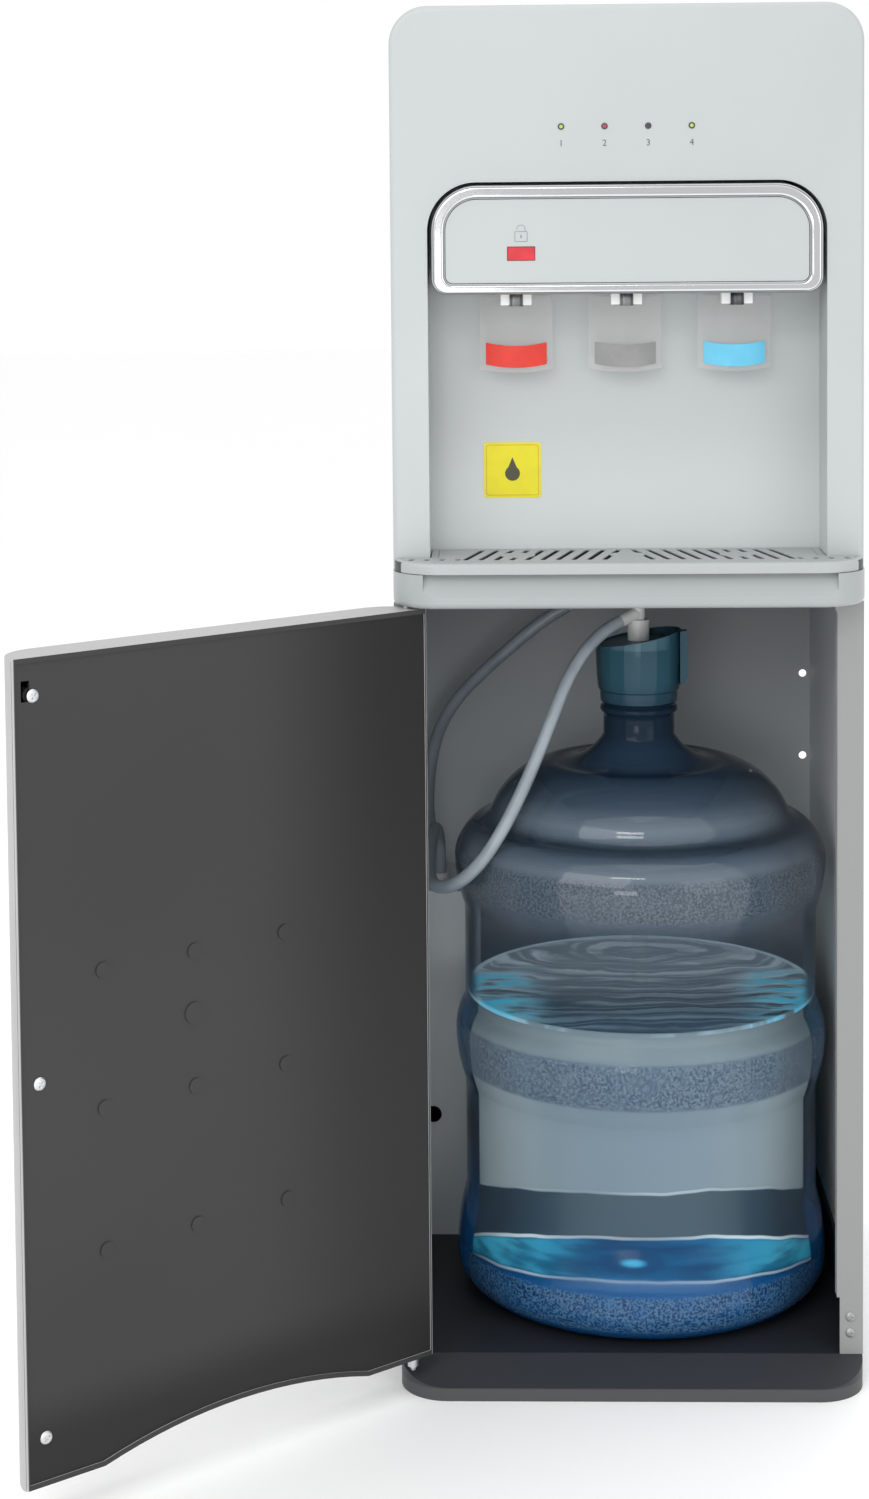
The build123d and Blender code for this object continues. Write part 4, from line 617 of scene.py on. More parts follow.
LOOKS = {
    "panel": side_panel_with_shaded_flange("panel_grey", (0.43, 0.435, 0.44), (0.405, 0.41, 0.415), (0.258, 0.265, 0.265)),
    "door": door_shell("door_grey", (0.4, 0.4, 0.4), (0.37, 0.37, 0.37), (0.02, 0.02, 0.02)),
    # The apron and the drip tray take darker copies of the shell grey: painted shade.
    "apron": moulded("apron_grey_shaded", (0.345, 0.367, 0.371), (0.323, 0.345, 0.349), 0.32),
    "tray": drip_shell("tray_grey_shaded", (0.385, 0.405, 0.41), (0.365, 0.385, 0.39)),
    "shell": moulded("shell_grey", (0.437, 0.465, 0.465), (0.414, 0.442, 0.442), 0.32),
    "niche": recess_lining_painted_light("niche_grey", (0.575, 0.605, 0.605), (0.42, 0.445, 0.445)),
    "plinth": base_painted_light_and_shade("plinth_dark", (0.06, 0.062, 0.064), (0.026, 0.028, 0.034), (0.014, 0.016, 0.02)),
    "door_lining": door_lining("door_lining"),
    "bay": lining_painted_by_height("bay_lining", (0.44, 0.465, 0.475), (0.9, 0.92, 0.93), (0.9, 0.92, 0.93)),
    "rear": lining_painted_by_height("rear_coat", (0.195, 0.203, 0.211), (0.82, 0.86, 0.87), (0.28, 0.31, 0.33)),
    "box": coated_panel("pump_cover", (0.74, 0.78, 0.8), (0.68, 0.72, 0.74), 0.32),
    "zinc": drawn_metal("zinc_plate", (0.72, 0.73, 0.74), (0.62, 0.63, 0.64)),
    "sleeve": drawn_metal("spout_sleeve", (0.3, 0.3, 0.31), (0.08, 0.08, 0.085), 0.3, (14, 1, 0.1)),
    # The screws on the side flange take a darker copy of the zinc plate: painted shade.
    "shaded_flange_zinc": drawn_metal("flange_screw_shaded", (0.4, 0.41, 0.41), (0.3, 0.31, 0.31), 0.4),
    "tank": drawn_metal("tank_steel", (0.66, 0.67, 0.68), (0.56, 0.57, 0.58), 0.26),
    "chrome": chrome_with_painted_reflections("bright_chrome"),
    "lens": lamp_lenses("lamp_lenses"),
    "board": moulded("board_green", (0.03, 0.2, 0.08), (0.02, 0.13, 0.05), 0.3),
    "red": gloss_colour("lock_red", (0.58, 0.02, 0.032), (0.48, 0.014, 0.024), 0.35),
    "white": gloss_colour("white_moulding", (0.8, 0.81, 0.8), (0.72, 0.73, 0.72), 0.26),
    "frost": frosted("frosted_lever"),
    "tab_hot": gloss_colour("tab_red", (0.65, 0.032, 0.018), (0.58, 0.028, 0.015), 0.5),
    "tab_room": gloss_colour("tab_grey", (0.25, 0.25, 0.25), (0.22, 0.22, 0.22), 0.5),
    "tab_cold": gloss_colour("tab_blue", (0.12, 0.485, 0.69), (0.105, 0.44, 0.63), 0.5),
    "foam": insulation("tank_foam", (0.7, 0.64, 0.44), (0.58, 0.52, 0.34)),
    "jacket": insulation("tank_jacket", (0.3, 0.31, 0.33), (0.22, 0.23, 0.25)),
    "enamel": gloss_colour("black_enamel", (0.018, 0.018, 0.02), (0.01, 0.01, 0.012), 0.3),
    "rubber": moulded("mount_rubber", (0.02, 0.02, 0.02), (0.012, 0.012, 0.012), 0.7),
    "copper": drawn_metal("copper_tube", (0.78, 0.38, 0.24), (0.6, 0.28, 0.18), 0.24),
    "pump": moulded("pump_case", (0.03, 0.03, 0.033), (0.02, 0.02, 0.022), 0.45),
    "switch": moulded("switch_black", (0.02, 0.02, 0.022), (0.014, 0.014, 0.016), 0.3),
    "rocker_red": gloss_colour("rocker_red", (0.62, 0.02, 0.02), (0.5, 0.015, 0.015)),
    "rocker_green": gloss_colour("rocker_green", (0.03, 0.36, 0.09), (0.02, 0.28, 0.06)),
    "grey": gloss_colour("cap_grey", (0.34, 0.35, 0.36), (0.28, 0.29, 0.3), 0.3),
    "bottle": tinted_bottle("bottle_blue"),
    "water": still_water("bottle_water"),
    "cap": teal_cap("cap_teal"),
    "hose": soft_hose("soft_hose"),
    "probe": clear_probe("probe_plastic"),
    "ink": gloss_colour("print_grey", (0.1, 0.1, 0.11), (0.08, 0.08, 0.09), 0.4),
    "soft_ink": gloss_colour("print_soft", (0.24, 0.25, 0.26), (0.21, 0.22, 0.23), 0.4),
    "label": gloss_colour("label_yellow", (0.7, 0.62, 0.006), (0.65, 0.58, 0.005), 0.5),
    "label_line": gloss_colour("label_line", (0.6, 0.36, 0.02), (0.52, 0.3, 0.015), 0.4),
    "label_mark": gloss_colour("label_mark", (0.05, 0.05, 0.02), (0.04, 0.04, 0.015), 0.4),
}

TAPS = ("hot", "room", "cold")
PLAIN_WHITE = " water_lines hose_fittings drain_spigot"
NODE_LOOKS = {
    "panel": "side_panel_left side_panel_right",
    "door": "door_skin",
    "shell": "front_fascia top_cover pod_face_plate",
    "apron": "apron",
    "tray": "drip_tray drip_grille",
    "niche": "niche_liner pod_housing",
    "plinth": "base_plinth",
    "door_lining": "door_liner",
    "bay": "bay_side_liners",
    "rear": "rear_panel bay_ceiling",
    "box": "service_box",
    "zinc": "tank_shelf hinge_pins lock_spring",
    "tank": "cold_tank hot_tank",
    "chrome": "chrome_bezel",
    "lens": "indicator_lenses",
    "board": "indicator_board",
    "red": "lock_button",
    "white": " ".join(f"tap_body_{tap} tap_plunger_{tap}" for tap in TAPS) + PLAIN_WHITE,
    "probe": "probe",
    "frost": " ".join(f"tap_lever_{tap}" for tap in TAPS),
    "tab_hot": "tap_tab_hot",
    "tab_room": "tap_tab_room",
    "tab_cold": "tap_tab_cold",
    "foam": "tank_foam",
    "jacket": "hot_jacket",
    "enamel": "compressor condenser",
    "rubber": "compressor_mounts",
    "copper": "cooling_circuit",
    "pump": "water_pump",
    "switch": "switch_plate",
    "rocker_red": "rocker_hot",
    "rocker_green": "rocker_cold",
    "grey": "drain_cap",
}


# ==== mesh helpers
def placed(name, data):
    """A new object in the scene."""
    made = bpy.data.objects.new(name, data)
    bpy.context.scene.collection.objects.link(made)
    return made


def skin(build, loops):
    """Quads between each loop of vertices and the next."""
    for low, high in zip(loops, loops[1:]):
        for index in range(len(low)):
            after = (index + 1) % len(low)
            build.faces.new((low[index], low[after], high[after], high[index]))


def meshed(name, build):
    """The mesh of a bmesh, its doubles joined and its faces turned outwards."""
    data = bpy.data.meshes.new(name)
    bmesh.ops.remove_doubles(build, verts=build.verts, dist=1e-7)
    bmesh.ops.recalc_face_normals(build, faces=build.faces)
    build.to_mesh(data)
    build.free()
    return data


def piece(name, build, look, body, smooth=True):
    """A finished mesh object from a filled bmesh, riding on a body."""
    data = meshed(name, build)
    for polygon in data.polygons:
        polygon.use_smooth = smooth
    made = placed(name, data)
    made.data.materials.append(LOOKS[look])
    if body:
        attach(made, body)
    return made


def plain_mesh(obj, name):
    """The evaluated object as a plain mesh object in its place."""
    graph = bpy.context.evaluated_depsgraph_get()
    data = bpy.data.meshes.new_from_object(obj.evaluated_get(graph))
    data.transform(obj.matrix_world)
    data.name = name
    bpy.data.objects.remove(obj)
    return placed(name, data)


def arc(first, middle, last, steps=10):
    """Points on the circle through three points, from the first up to but not with the last."""
    (ax, ay), (bx, by), (cx, cy) = first, middle, last
    d = 2 * (ax * (by - cy) + bx * (cy - ay) + cx * (ay - by))
    a2, b2, c2 = ax * ax + ay * ay, bx * bx + by * by, cx * cx + cy * cy
    ux = (a2 * (by - cy) + b2 * (cy - ay) + c2 * (ay - by)) / d
    uy = (a2 * (cx - bx) + b2 * (ax - cx) + c2 * (bx - ax)) / d
    radius = math.hypot(ax - ux, ay - uy)
    start = math.atan2(ay - uy, ax - ux)
    swing = math.remainder(math.atan2(by - uy, bx - ux) - start, math.tau)
    sweep = (math.atan2(cy - uy, cx - ux) - start) % math.tau
    if swing < 0:
        sweep -= math.tau
    turns = [start + sweep * step / steps for step in range(steps)]
    return [(ux + radius * math.cos(turn), uy + radius * math.sin(turn)) for turn in turns]


def set_in(profile, amount):
    """The profile moved towards its left-hand side, which for a rising outline is its inside."""
    moved = []
    last = len(profile) - 1
    for index, (r, z) in enumerate(profile):
        before = profile[max(index - 1, 0)]
        after = profile[min(index + 1, last)]
        dr, dz = after[0] - before[0], after[1] - before[1]
        length = math.hypot(dr, dz) or 1.0
        moved.append((max(r - amount * dz / length, 0.0), z + amount * dr / length))
    return moved


def turned(build, profile, centre, segments, shape=None):
    """Turns a closed profile of (radius, height) in millimetres round an upright axis."""
    rings = []
    for r, z in profile:
        ring = []
        for index in range(segments):
            turn = math.tau * index / segments
            radius = r * (shape(turn, r, z) if shape else 1.0)
            x = centre[0] + radius * math.cos(turn)
            y = centre[1] + radius * math.sin(turn)
            ring.append(build.verts.new((x * MM, y * MM, z * MM)))
        rings.append(ring)
    skin(build, rings + rings[:1])


def slab(build, outline, y0, y1):
    """A flat outline of (x, z) in millimetres, solid from y0 to y1."""
    front = [build.verts.new((x * MM, y0 * MM, z * MM)) for x, z in outline]
    back = [build.verts.new((x * MM, y1 * MM, z * MM)) for x, z in outline]
    build.faces.new(front)
    build.faces.new(back[::-1])
    for index in range(len(outline)):
        after = (index + 1) % len(outline)
        build.faces.new((front[index], back[index], back[after], front[after]))


def frame_slab(build, outer, inner, y0, y1):
    """A flat ring between two outlines with the same number of points."""
    loops = []
    for outline, y in ((outer, y0), (inner, y0), (inner, y1), (outer, y1)):
        loops.append([build.verts.new((x * MM, y * MM, z * MM)) for x, z in outline])
    skin(build, loops + loops[:1])


def rounded(x, z, half_x, half_z, corner, steps=6):
    """A rounded rectangle of (x, z) points round a centre."""
    points = []
    for quarter, (sx, sz) in enumerate(((1, 1), (-1, 1), (-1, -1), (1, -1))):
        for step in range(steps + 1):
            turn = math.pi / 2 * (quarter + step / steps)
            px = x + sx * (half_x - corner) + corner * math.cos(turn)
            pz = z + sz * (half_z - corner) + corner * math.sin(turn)
            points.append((px, pz))
    return points


# ==== repeated things
class Layout:
    """A Geometry Nodes tree that sets out one repeated thing."""

    def __init__(self, name, sizes):
        self.tree = bpy.data.node_groups.new(name, "GeometryNodeTree")
        face = self.tree.interface
        face.new_socket("Geometry", in_out="INPUT", socket_type="NodeSocketGeometry")
        face.new_socket("Geometry", in_out="OUTPUT", socket_type="NodeSocketGeometry")
        self.names = {}
        for label, (kind, _) in sizes.items():
            socket = face.new_socket(label, in_out="INPUT", socket_type=kind)
            self.names[label] = socket.identifier
        self.sizes = sizes
        self.given = self.tree.nodes.new("NodeGroupInput")

    def node(self, kind, settings=(), sockets=()):
        made = self.tree.nodes.new(kind)
        for key, value in dict(settings).items():
            setattr(made, key, value)
        for key, value in dict(sockets).items():
            if isinstance(value, bpy.types.NodeSocket):
                self.tree.links.new(value, made.inputs[key])
            else:
                made.inputs[key].default_value = value
        return made

    def grown(self, name, geometry, look, start):
        """The tree's result as one plain mesh object."""
        real = self.node("GeometryNodeRealizeInstances", sockets={"Geometry": geometry})
        sockets = {"Geometry": real.outputs[0], "Material": LOOKS[look]}
        dressed = self.node("GeometryNodeSetMaterial", sockets=sockets)
        out = self.tree.nodes.new("NodeGroupOutput")
        self.tree.links.new(dressed.outputs[0], out.inputs[0])
        seed = placed(name + "_seed", start)
        modifier = seed.modifiers.new("layout", "NODES")
        modifier.node_group = self.tree
        for label, (_, value) in self.sizes.items():
            modifier[self.names[label]] = value
        return plain_mesh(seed, name)


# ==== camera
FOCAL_LENGTH = 64.6
CAMERA_AT = Vector((-80.5, -1959.0, 811.1)) * MM
LOOK_LEFT = 0.0276
LOOK_DOWN = 0.0645
ROLL = 0.0088
SHIFT_DOWN = -0.2425


def make_camera():
    lens = bpy.data.cameras.new("camera")
    lens.sensor_width = 36.0
    lens.lens = FOCAL_LENGTH
    lens.shift_y = SHIFT_DOWN
    ahead = Vector((-math.sin(LOOK_LEFT), math.cos(LOOK_LEFT), 0.0))
    right = Vector((math.cos(LOOK_LEFT), math.sin(LOOK_LEFT), 0.0))
    up = Vector((0.0, 0.0, 1.0))
    forward = ahead * math.cos(LOOK_DOWN) - up * math.sin(LOOK_DOWN)
    above = up * math.cos(LOOK_DOWN) + ahead * math.sin(LOOK_DOWN)
    side = right * math.cos(ROLL) - above * math.sin(ROLL)
    top = right * math.sin(ROLL) + above * math.cos(ROLL)
    turn = Matrix((side, top, -forward)).transposed()
    camera = placed("camera", lens)
    camera.matrix_world = Matrix.Translation(CAMERA_AT) @ turn.to_4x4()
    bpy.context.scene.camera = camera


# ==== hoses
HOSE_DIAMETER = 0.0095
PROBE_HOSE = (
    (-0.15, -6.53, 511.54),
    (-17.02, -17.07, 504.79),
    (-38.0, -36.0, 479.0),
    (-52.0, -50.0, 446.0),
    (-67.0, -62.0, 411.0),
    (-86.0, -75.0, 374.0),
    (-104.0, -78.0, 348.0),
    (-121.0, -65.0, 331.0),
    (-134.0, -36.0, 322.0),
    (-141.0, -4.0, 319.0),
    (-142.5, 30.0, 326.0),
    (-141.0, 62.0, 337.0),
    (-138.5, 86.0, 340.0),
    (-136.5, 108.0, 322.0),
    (-136.5, 108.0, 298.0),
)
RISER_HOSE = (
    (-35.58, 128.48, 503.35),
    (-53.2, 129.28, 493.94),
    (-84.5, 132.0, 467.0),
    (-105.0, 136.0, 448.0),
    (-122.0, 140.0, 430.0),
    (-138.0, 143.5, 404.0),
    (-145.5, 146.0, 370.0),
    (-147.0, 147.0, 335.0),
    (-142.0, 146.0, 316.0),
    (-142.0, 146.0, 298.0),
)


def hose_curve(name, route, thickness):
    data = bpy.data.curves.new(name, "CURVE")
    data.dimensions = "3D"
    line = data.splines.new("NURBS")
    line.points.add(len(route) - 1)
    for point, place in zip(line.points, route):
        point.co = (*(value * MM for value in place), 1.0)
    line.order_u = 3
    line.use_endpoint_u = True
    line.resolution_u = 10
    data.bevel_depth = thickness / 2
    data.bevel_resolution = 6
    data.use_fill_caps = thickness > 0
    return placed(name, data)


def make_hose(name, route, node, held_by=()):
    """A hose on its route; one that both bodies hold is made a plain mesh fixed where it lies, riding on
    neither body, while the other rides on the cabinet.
    """
    if held_by:
        line = plain_mesh(hose_curve(name + "_line", route, 0.0), name + "_line")
        bpy.data.objects.remove(line)
        made = plain_mesh(hose_curve(name, route, HOSE_DIAMETER), name)
        for polygon in made.data.polygons:
            polygon.use_smooth = True
        made.data.materials.append(LOOKS["hose"])
        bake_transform(made)
    else:
        made = hose_curve(name, route, HOSE_DIAMETER)
        made.data.materials.append(LOOKS["hose"])
        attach(made, "cabinet")
    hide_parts(node)


# ==== bottle, water and cap
def bottle_profile():
    """The bottle's outer line from the middle of its foot to its mouth."""
    r = BOTTLE_RADIUS
    foot = BOTTLE_FOOT
    waist = r - 7.0
    points = [(0.0, foot + 6.0), (r - 90, foot + 6.0), (r - 56, foot + 6.0)]
    points += arc((r - 48, foot + 6.0), (r - 42, foot + 3.4), (r - 36, foot), 6)
    points += arc((r - 23.7, foot), (r - 6.94, foot + 6.94), (r, foot + 23.7), 12)
    points += arc((r, foot + 23.7), (r - 1.72, 67.5), (waist, 91.0), 14)
    points += [(waist, z) for z in (91.0, 98.0, 110.0, 130.0, 150.0, 162.0)]
    points += arc((waist, 172.5), (r - 1.7, 191.25), (r, 210.0), 14)
    points += arc((r, 210.0), (r - 1.7, 221.5), (waist, 233.0), 12)
    points += [(waist, z) for z in (233.0, 244.0, 256.0, 270.0, 284.0, 294.0)]
    points += arc((waist, 303.0), (r - 1.7, 321.75), (r, 340.5), 14)
    points += arc((r, 340.5), (r - 3.74, 352.25), (r - 14, 364.0), 12)
    points += arc((r - 14, 364.0), (r - 21.7, 367.2), (r - 26.7, 372.5), 5)
    points += arc((r - 26.7, 372.5), (r - 38.7, 391.5), (r - 70.2, 408.3), 14)
    points += arc((r - 70.2, 408.3), (NECK_RADIUS + 14, 413.5), (NECK_RADIUS, 428.0), 14)
    points += [(NECK_RADIUS, 428.0), (NECK_RADIUS, 440.0)]
    points += arc((NECK_RADIUS, 444.0), (NECK_RADIUS + 2.4, 447.0), (NECK_RADIUS, 450.0), 8)
    points += [(NECK_RADIUS, 450.0), (NECK_RADIUS, 470.0), (NECK_RADIUS, NECK_TOP)]
    return points


def make_bottle():
    outer = bottle_profile()
    inner = set_in(outer, BOTTLE_WALL)
    build = bmesh.new()
    open_end = [(NECK_RADIUS - BOTTLE_WALL / 2, NECK_TOP + 0.4)]
    turned(build, outer + open_end + inner[::-1], BOTTLE_AXIS, SEGMENTS_ROUND)
    made = piece("bottle_shell", build, "bottle", "bottle")
    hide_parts("bottle")


SEGMENTS_ROUND = 144
SURFACE_RINGS = 46


def ripple(x, y):
    """The height of the water's surface above its level, in millimetres."""
    away = math.hypot(x + 30.0, y - 60.0)
    other = math.hypot(x - 80.0, y + 40.0)
    long_swell = 0.55 * math.sin(away / 7.5) + 0.45 * math.sin(other / 9.5 + 1.0)
    return long_swell + 0.35 * math.sin(y / 5.0 + x / 38.0)


def make_water():
    wall = [(r, z) for r, z in set_in(bottle_profile(), BOTTLE_WALL - 0.1) if z < WATER_LEVEL - 0.5]
    edge = wall[-1][0]
    build = bmesh.new()
    rings = []
    rises = [(r, z, 0.0) for r, z in wall] + [(edge, WATER_LEVEL + 0.8, 0.0)]
    for step in range(1, SURFACE_RINGS):
        share = 1.0 - step / SURFACE_RINGS
        meniscus = 0.8 * math.exp(-(1.0 - share) * edge / 2.5)
        rises.append((edge * share, WATER_LEVEL + meniscus, min(1.0, (1.0 - share) * 8.0)))
    for r, z, swell in rises:
        ring = []
        for index in range(SEGMENTS_ROUND):
            turn = math.tau * index / SEGMENTS_ROUND
            x, y = r * math.cos(turn), r * math.sin(turn)
            place = (BOTTLE_AXIS[0] + x, BOTTLE_AXIS[1] + y, z + swell * ripple(x, y))
            ring.append(build.verts.new(tuple(value * MM for value in place)))
        rings.append(ring)
    skin(build, rings)
    build.faces.new(rings[-1])
    made = piece("bottle_water", build, "water", "bottle")
    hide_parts("water")


CAP_FACETS = 16


def cap_facets(turn, r, z):
    """Flattens the cap's skirt into shallow panels between its foot and its rim."""
    part = math.tau / CAP_FACETS
    off = (turn % part) - part / 2
    flat = math.cos(part / 2) / math.cos(off)
    share = min(1.0, max(0.0, (z - 462.0) / 10.0)) if r > 20 else 0.0
    return 1.0 + share * 0.6 * (flat - 1.0)


def rim_height(x):
    """The slanting top of the cap's rim at a place across it."""
    return 499.2 + 0.19 * x


def make_cap():
    disc = CAP_FLOOR + 1.5
    outer = [
        (27.2, CAP_FOOT),
        (28.1, CAP_FOOT + 0.8),
        (28.3, 456.5),
        (28.4, 460.5),
        (29.6, 461.6),
        (30.2, 465.0),
        (30.8, 474.0),
        (31.2, 483.0),
        (31.4, 489.0),
        (31.0, 497.0),
    ]
    inner = [(29.9, 497.0), (29.7, disc), (8.4, disc), (6.6, disc)]
    under = [(6.6, 487.0), (8.4, 487.0), (NECK_RADIUS + 0.4, 486.6), (NECK_RADIUS + 0.4, 470.0)]
    build = bmesh.new()
    turned(build, outer + inner + under + [(NECK_RADIUS + 0.4, CAP_FOOT)], BOTTLE_AXIS, 96, cap_facets)
    for vertex in build.verts:
        across = vertex.co.x / MM - BOTTLE_AXIS[0]
        if vertex.co.z > 0.4968:
            vertex.co.z = rim_height(across) * MM
        elif vertex.co.z > 0.4962:
            vertex.co.z = min(vertex.co.z, (rim_height(across) - 1.2) * MM)
    low, high = 466.0, rim_height(33.0)
    edge = BOTTLE_AXIS[0] + 30.0
    tab = [(edge - 0.5, low), (edge + 3.2, low + 1.0), (edge + 5.0, low + 5.0), (edge + 5.2, high - 1.5)]
    slab(build, tab + [(edge + 4.6, high), (edge - 0.5, high - 0.6)], -13.5, -2.5)
    made = piece("bottle_cap_moulding", build, "cap", "bottle", smooth=False)
    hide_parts("bottle_cap")


# ==== screws
def screw_head(radius, rise):
    """A domed head with a cross recess, its seat at Z = 0 and its top towards +Z."""
    build = bmesh.new()
    dome = [(0.0, 1.35), (0.5, 1.28), (0.82, 0.95), (1.0, 0.4), (1.0, 0.0), (0.0, 0.0)]
    turned(build, [(radius * out, rise * up) for out, up in dome], (0.0, 0.0), 32)
    head = placed("screw_head", meshed("screw_head", build))
    cross = bmesh.new()
    arm, half = radius * 0.6 * MM, radius * 0.14 * MM
    outline = [(half, arm), (-half, arm), (-half, half), (-arm, half), (-arm, -half), (-half, -half)]
    outline += [(-x, -y) for x, y in outline]
    low = [cross.verts.new((x, y, rise * 0.6 * MM)) for x, y in outline]
    high = [cross.verts.new((x, y, rise * 2.2 * MM)) for x, y in outline]
    cross.faces.new(low[::-1])
    cross.faces.new(high)
    skin(cross, [low, high])
    cutter = placed("cross_cutter", meshed("cross_cutter", cross))
    cut = head.modifiers.new("recess", "BOOLEAN")
    cut.object = cutter
    cut.operation = "DIFFERENCE"
    cut.solver = "EXACT"
    finished = plain_mesh(head, "screw_head")
    bpy.data.objects.remove(cutter)
    return finished


def make_screws(name, seats, facing, radius, rise, body, look="zinc"):
    """Heads on their seats, all facing one way; the seats are in millimetres."""
    head = screw_head(radius, rise)
    lean = Vector((0, 0, 1)).rotation_difference(Vector(facing)).to_euler()
    sizes = {
        "Head": ("NodeSocketObject", head),
        "Facing": ("NodeSocketRotation", tuple(lean)),
        "Scale": ("NodeSocketFloat", 1.0),
    }
    layout = Layout(name, sizes)
    given = layout.given.outputs
    shape = layout.node("GeometryNodeObjectInfo", sockets={"Object": given["Head"]})
    spread = layout.node(
        "GeometryNodeInstanceOnPoints",
        sockets={
            "Points": given["Geometry"],
            "Instance": shape.outputs["Geometry"],
            "Rotation": given["Facing"],
            "Scale": given["Scale"],
        },
    )
    points = bpy.data.meshes.new(name + "_seats")
    points.from_pydata([tuple(value * MM for value in seat) for seat in seats], [], [])
    made = layout.grown(name, spread.outputs["Instances"], look, points)
    bpy.data.objects.remove(head)
    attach(made, body)
    return made


DOOR_SCREW_PLACE = (144.5, -139.5)
DOOR_SCREW_HEIGHTS = (57.8, 280.4, 520.4)
FLANGE_SCREW_X = 151.3
FLANGE_SCREW_HEIGHTS = (46.3, 35.0)


def on_open_door(x, y, z):
    """Where a place on the closed door lies when the door stands open."""
    dx, dy = x - PIN[0], y - PIN[1]
    turn = math.radians(-OPEN_DEGREES)
    cos, sin = math.cos(turn), math.sin(turn)
    return (PIN[0] + cos * dx - sin * dy, PIN[1] + sin * dx + cos * dy, z)


def make_all_screws():
    seats = [on_open_door(*DOOR_SCREW_PLACE, z) for z in DOOR_SCREW_HEIGHTS]
    open_turn = math.radians(OPEN_DEGREES)
    facing = (math.sin(open_turn), math.cos(open_turn), 0.0)
    door = make_screws("door_screw_heads", seats, facing, 4.2, 1.35, "door")
    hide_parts("door_screws")
    flange = [(FLANGE_SCREW_X, FASCIA_FACE, z) for z in FLANGE_SCREW_HEIGHTS]
    ahead = (0.0, -1.0, 0.0)
    panel = make_screws("panel_screw_heads", flange, ahead, 3.3, 1.0, "cabinet", "shaded_flange_zinc")
    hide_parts("panel_screws")


# ==== printed details
NUMBER_SIZE = 6.2
NUMBER_HEIGHT = 856.6
LOCK_SIGN_PLACE = (-71.4, 796.2)
LABEL_PLACE = (-78.2, 631.3)


def make_numbers():
    """Plain numbers under the four lamps."""
    for index, x in enumerate(LAMP_PLACES):
        text = bpy.data.curves.new(f"number_{index + 1}", "FONT")
        text.body = str(index + 1)
        text.size = NUMBER_SIZE * MM
        text.extrude = 0.05 * MM
        text.align_x = "CENTER"
        text.align_y = "CENTER"
        loose = placed("loose_number", text)
        seat = Matrix.Translation((x * MM, (FASCIA_FACE - 0.04) * MM, NUMBER_HEIGHT * MM))
        loose.matrix_world = seat @ Matrix.Rotation(math.pi / 2, 4, "X")
        bpy.context.view_layer.update()
        made = plain_mesh(loose, f"number_{index + 1}")
        made.data.materials.clear()
        made.data.materials.append(LOOKS["ink"])
        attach(made, "cabinet")


def make_lock_sign():
    """A small open padlock in thin lines over the lock button."""
    x, z = LOCK_SIGN_PLACE
    build = bmesh.new()
    y0, y1 = PLATE_FACE - 0.12, PLATE_FACE + 0.02
    frame_slab(build, rounded(x, z - 2.0, 4.4, 3.6, 0.8, 3), rounded(x, z - 2.0, 3.9, 3.1, 0.5, 3), y0, y1)
    outer, inner = [], []
    for step in range(13):
        turn = math.pi * step / 12
        outer.append((x + 3.0 * math.cos(turn), z + 3.4 + 2.6 * math.sin(turn)))
        inner.append((x + 2.5 * math.cos(turn), z + 3.4 + 2.1 * math.sin(turn)))
    left_end = [(x - 3.0, z + 2.6), (x - 2.5, z + 2.6)]
    slab(build, [(x + 3.0, z + 1.6), *outer, *left_end, *inner[::-1], (x + 2.5, z + 1.6)], y0, y1)
    slab(build, rounded(x, z - 2.0, 0.55, 1.2, 0.4, 3), y0, y1)
    piece("lock_sign", build, "soft_ink", "cabinet", smooth=False)


def make_label():
    """A plain yellow square on the recess wall, with a frame line and a drop."""
    x, z = LABEL_PLACE
    face = NICHE_BACK - 0.3
    build = bmesh.new()
    slab(build, rounded(x, z, 19.9, 19.3, 2.2), face, NICHE_BACK - 0.02)
    piece("recess_label", build, "label", "cabinet", smooth=False)
    line = bmesh.new()
    frame_slab(line, rounded(x, z, 18.4, 17.8, 1.6), rounded(x, z, 17.8, 17.2, 1.2), face - 0.08, face + 0.02)
    piece("recess_label_line", line, "label_line", "cabinet", smooth=False)
    drop = []
    for step in range(25):
        turn = math.radians(-235 + 290 * step / 24)
        drop.append((x + 5.2 * math.cos(turn), z - 2.4 + 5.2 * math.sin(turn)))
    mark = bmesh.new()
    slab(mark, drop + [(x, z + 9.0)], face - 0.08, face + 0.02)
    piece("recess_label_drop", mark, "label_mark", "cabinet", smooth=False)


def make_spout_sleeves():
    """Fluted bright sleeves round the three spouts."""
    build = bmesh.new()
    for x in TAP_PLACES:
        profile = [(4.3, 746.6), (4.9, 747.2), (4.9, 754.6), (4.3, 755.2)]
        turned(build, profile, (x, -126.5), 48, lambda turn, r, z: 1.0 + 0.05 * math.cos(12 * turn))
    piece("spout_sleeves", build, "sleeve", "cabinet")


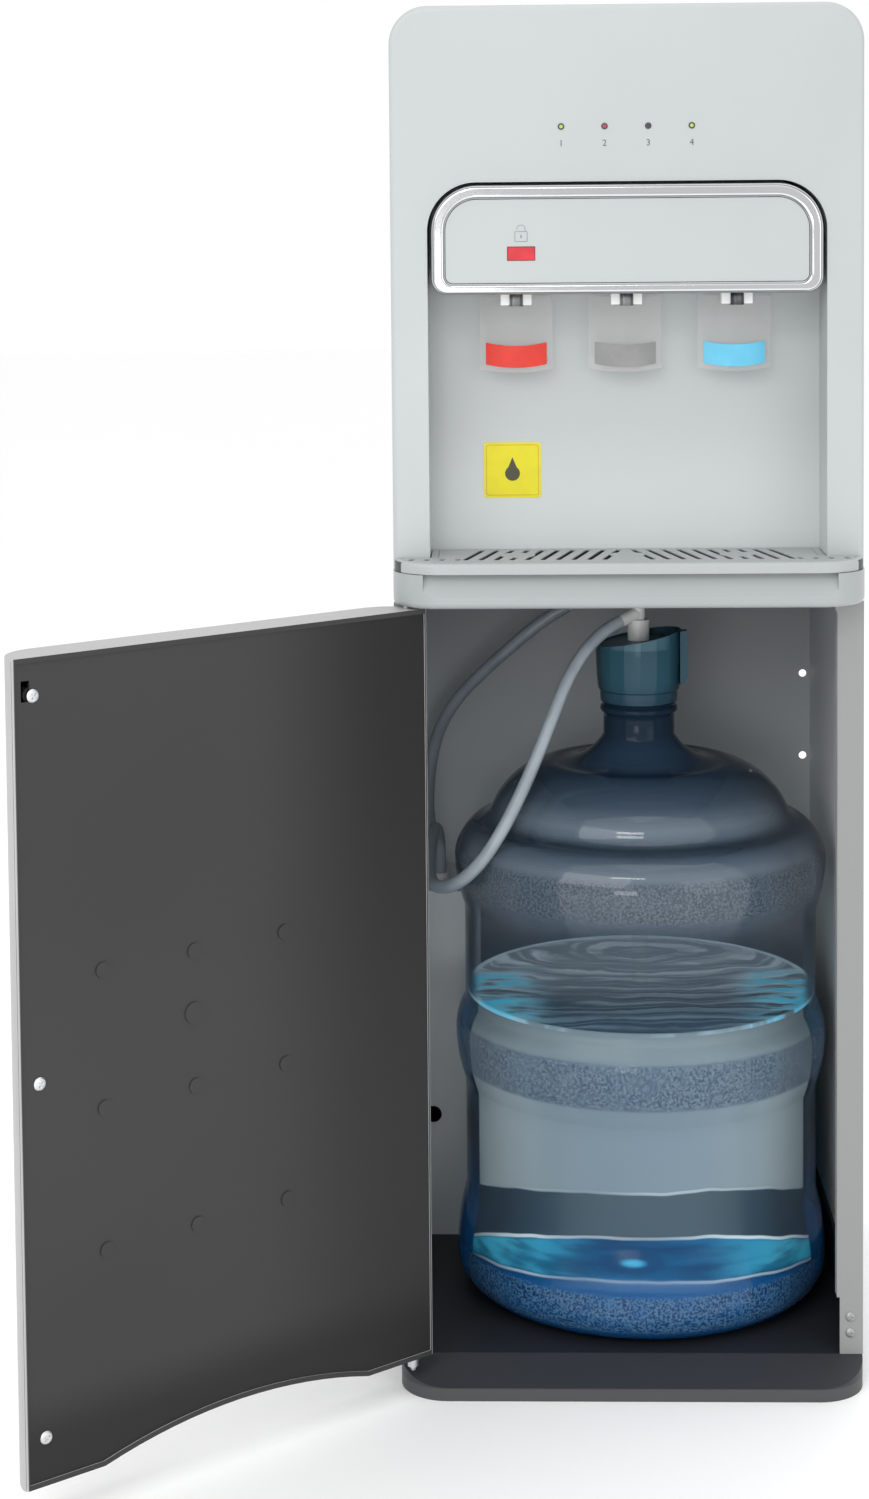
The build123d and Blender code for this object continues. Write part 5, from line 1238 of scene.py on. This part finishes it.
# ==== studio
def make_studio():
    world = bpy.data.worlds.new("studio")
    bpy.context.scene.world = world
    world.use_nodes = True
    background = world.node_tree.nodes["Background"].inputs
    background["Color"].default_value = (1.0, 1.0, 1.0, 1.0)
    background["Strength"].default_value = 1.0
    build = bmesh.new()
    bmesh.ops.create_circle(build, cap_ends=True, segments=96, radius=14.0)
    floor = Finish("studio_floor")
    grain = floor.noise(3.0, 2.0)
    tone = floor.mixed(grain, (0.985, 0.985, 0.985), (0.995, 0.995, 0.995))
    LOOKS["floor"] = floor.surface(Base_Color=tone, Roughness=0.7)
    piece("studio_floor", build, "floor", None, smooth=False)
    lamps = (
        ("key", (-1.5, -2.4, 2.0), (2.4, 1.4), 22.0),
        ("fill", (2.0, -2.6, 1.2), (1.6, 2.0), 9.0),
        ("strip", (-0.3, -1.7, 1.75), (0.7, 0.12), 2.2),
        ("top", (0.2, -0.3, 2.8), (2.0, 2.0), 9.0),
        ("rear", (0.8, 2.6, 1.8), (2.0, 2.0), 10.0),
        ("low", (-0.38, -2.1, 0.5), (0.5, 0.5), 3.5),
    )
    aim = Vector((0.0, 0.0, 0.45))
    for name, place, size, power in lamps:
        lamp = bpy.data.lights.new(name, "AREA")
        lamp.shape = "RECTANGLE"
        lamp.size, lamp.size_y = size
        lamp.energy = power
        holder = placed(name, lamp)
        holder.location = place
        holder.rotation_euler = (Vector(place) - aim).to_track_quat("Z", "Y").to_euler()
    bpy.context.scene.view_settings.view_transform = "Standard"


# ==== making
make_camera()
both_ends = ("bottle", "cabinet", (0.0, -0.015, 0.51), (-0.1365, 0.095, 0.33))
make_hose("hose_from_probe", PROBE_HOSE, "hose_probe", both_ends)
make_hose("hose_to_tank", RISER_HOSE, "hose_riser")
for look, nodes in NODE_LOOKS.items():
    for node in nodes.split():
        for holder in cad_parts[node].material_slots:
            holder.material = LOOKS[look]
make_bottle()
make_water()
make_cap()
make_all_screws()
make_numbers()
make_lock_sign()
make_label()
make_spout_sleeves()
make_studio()
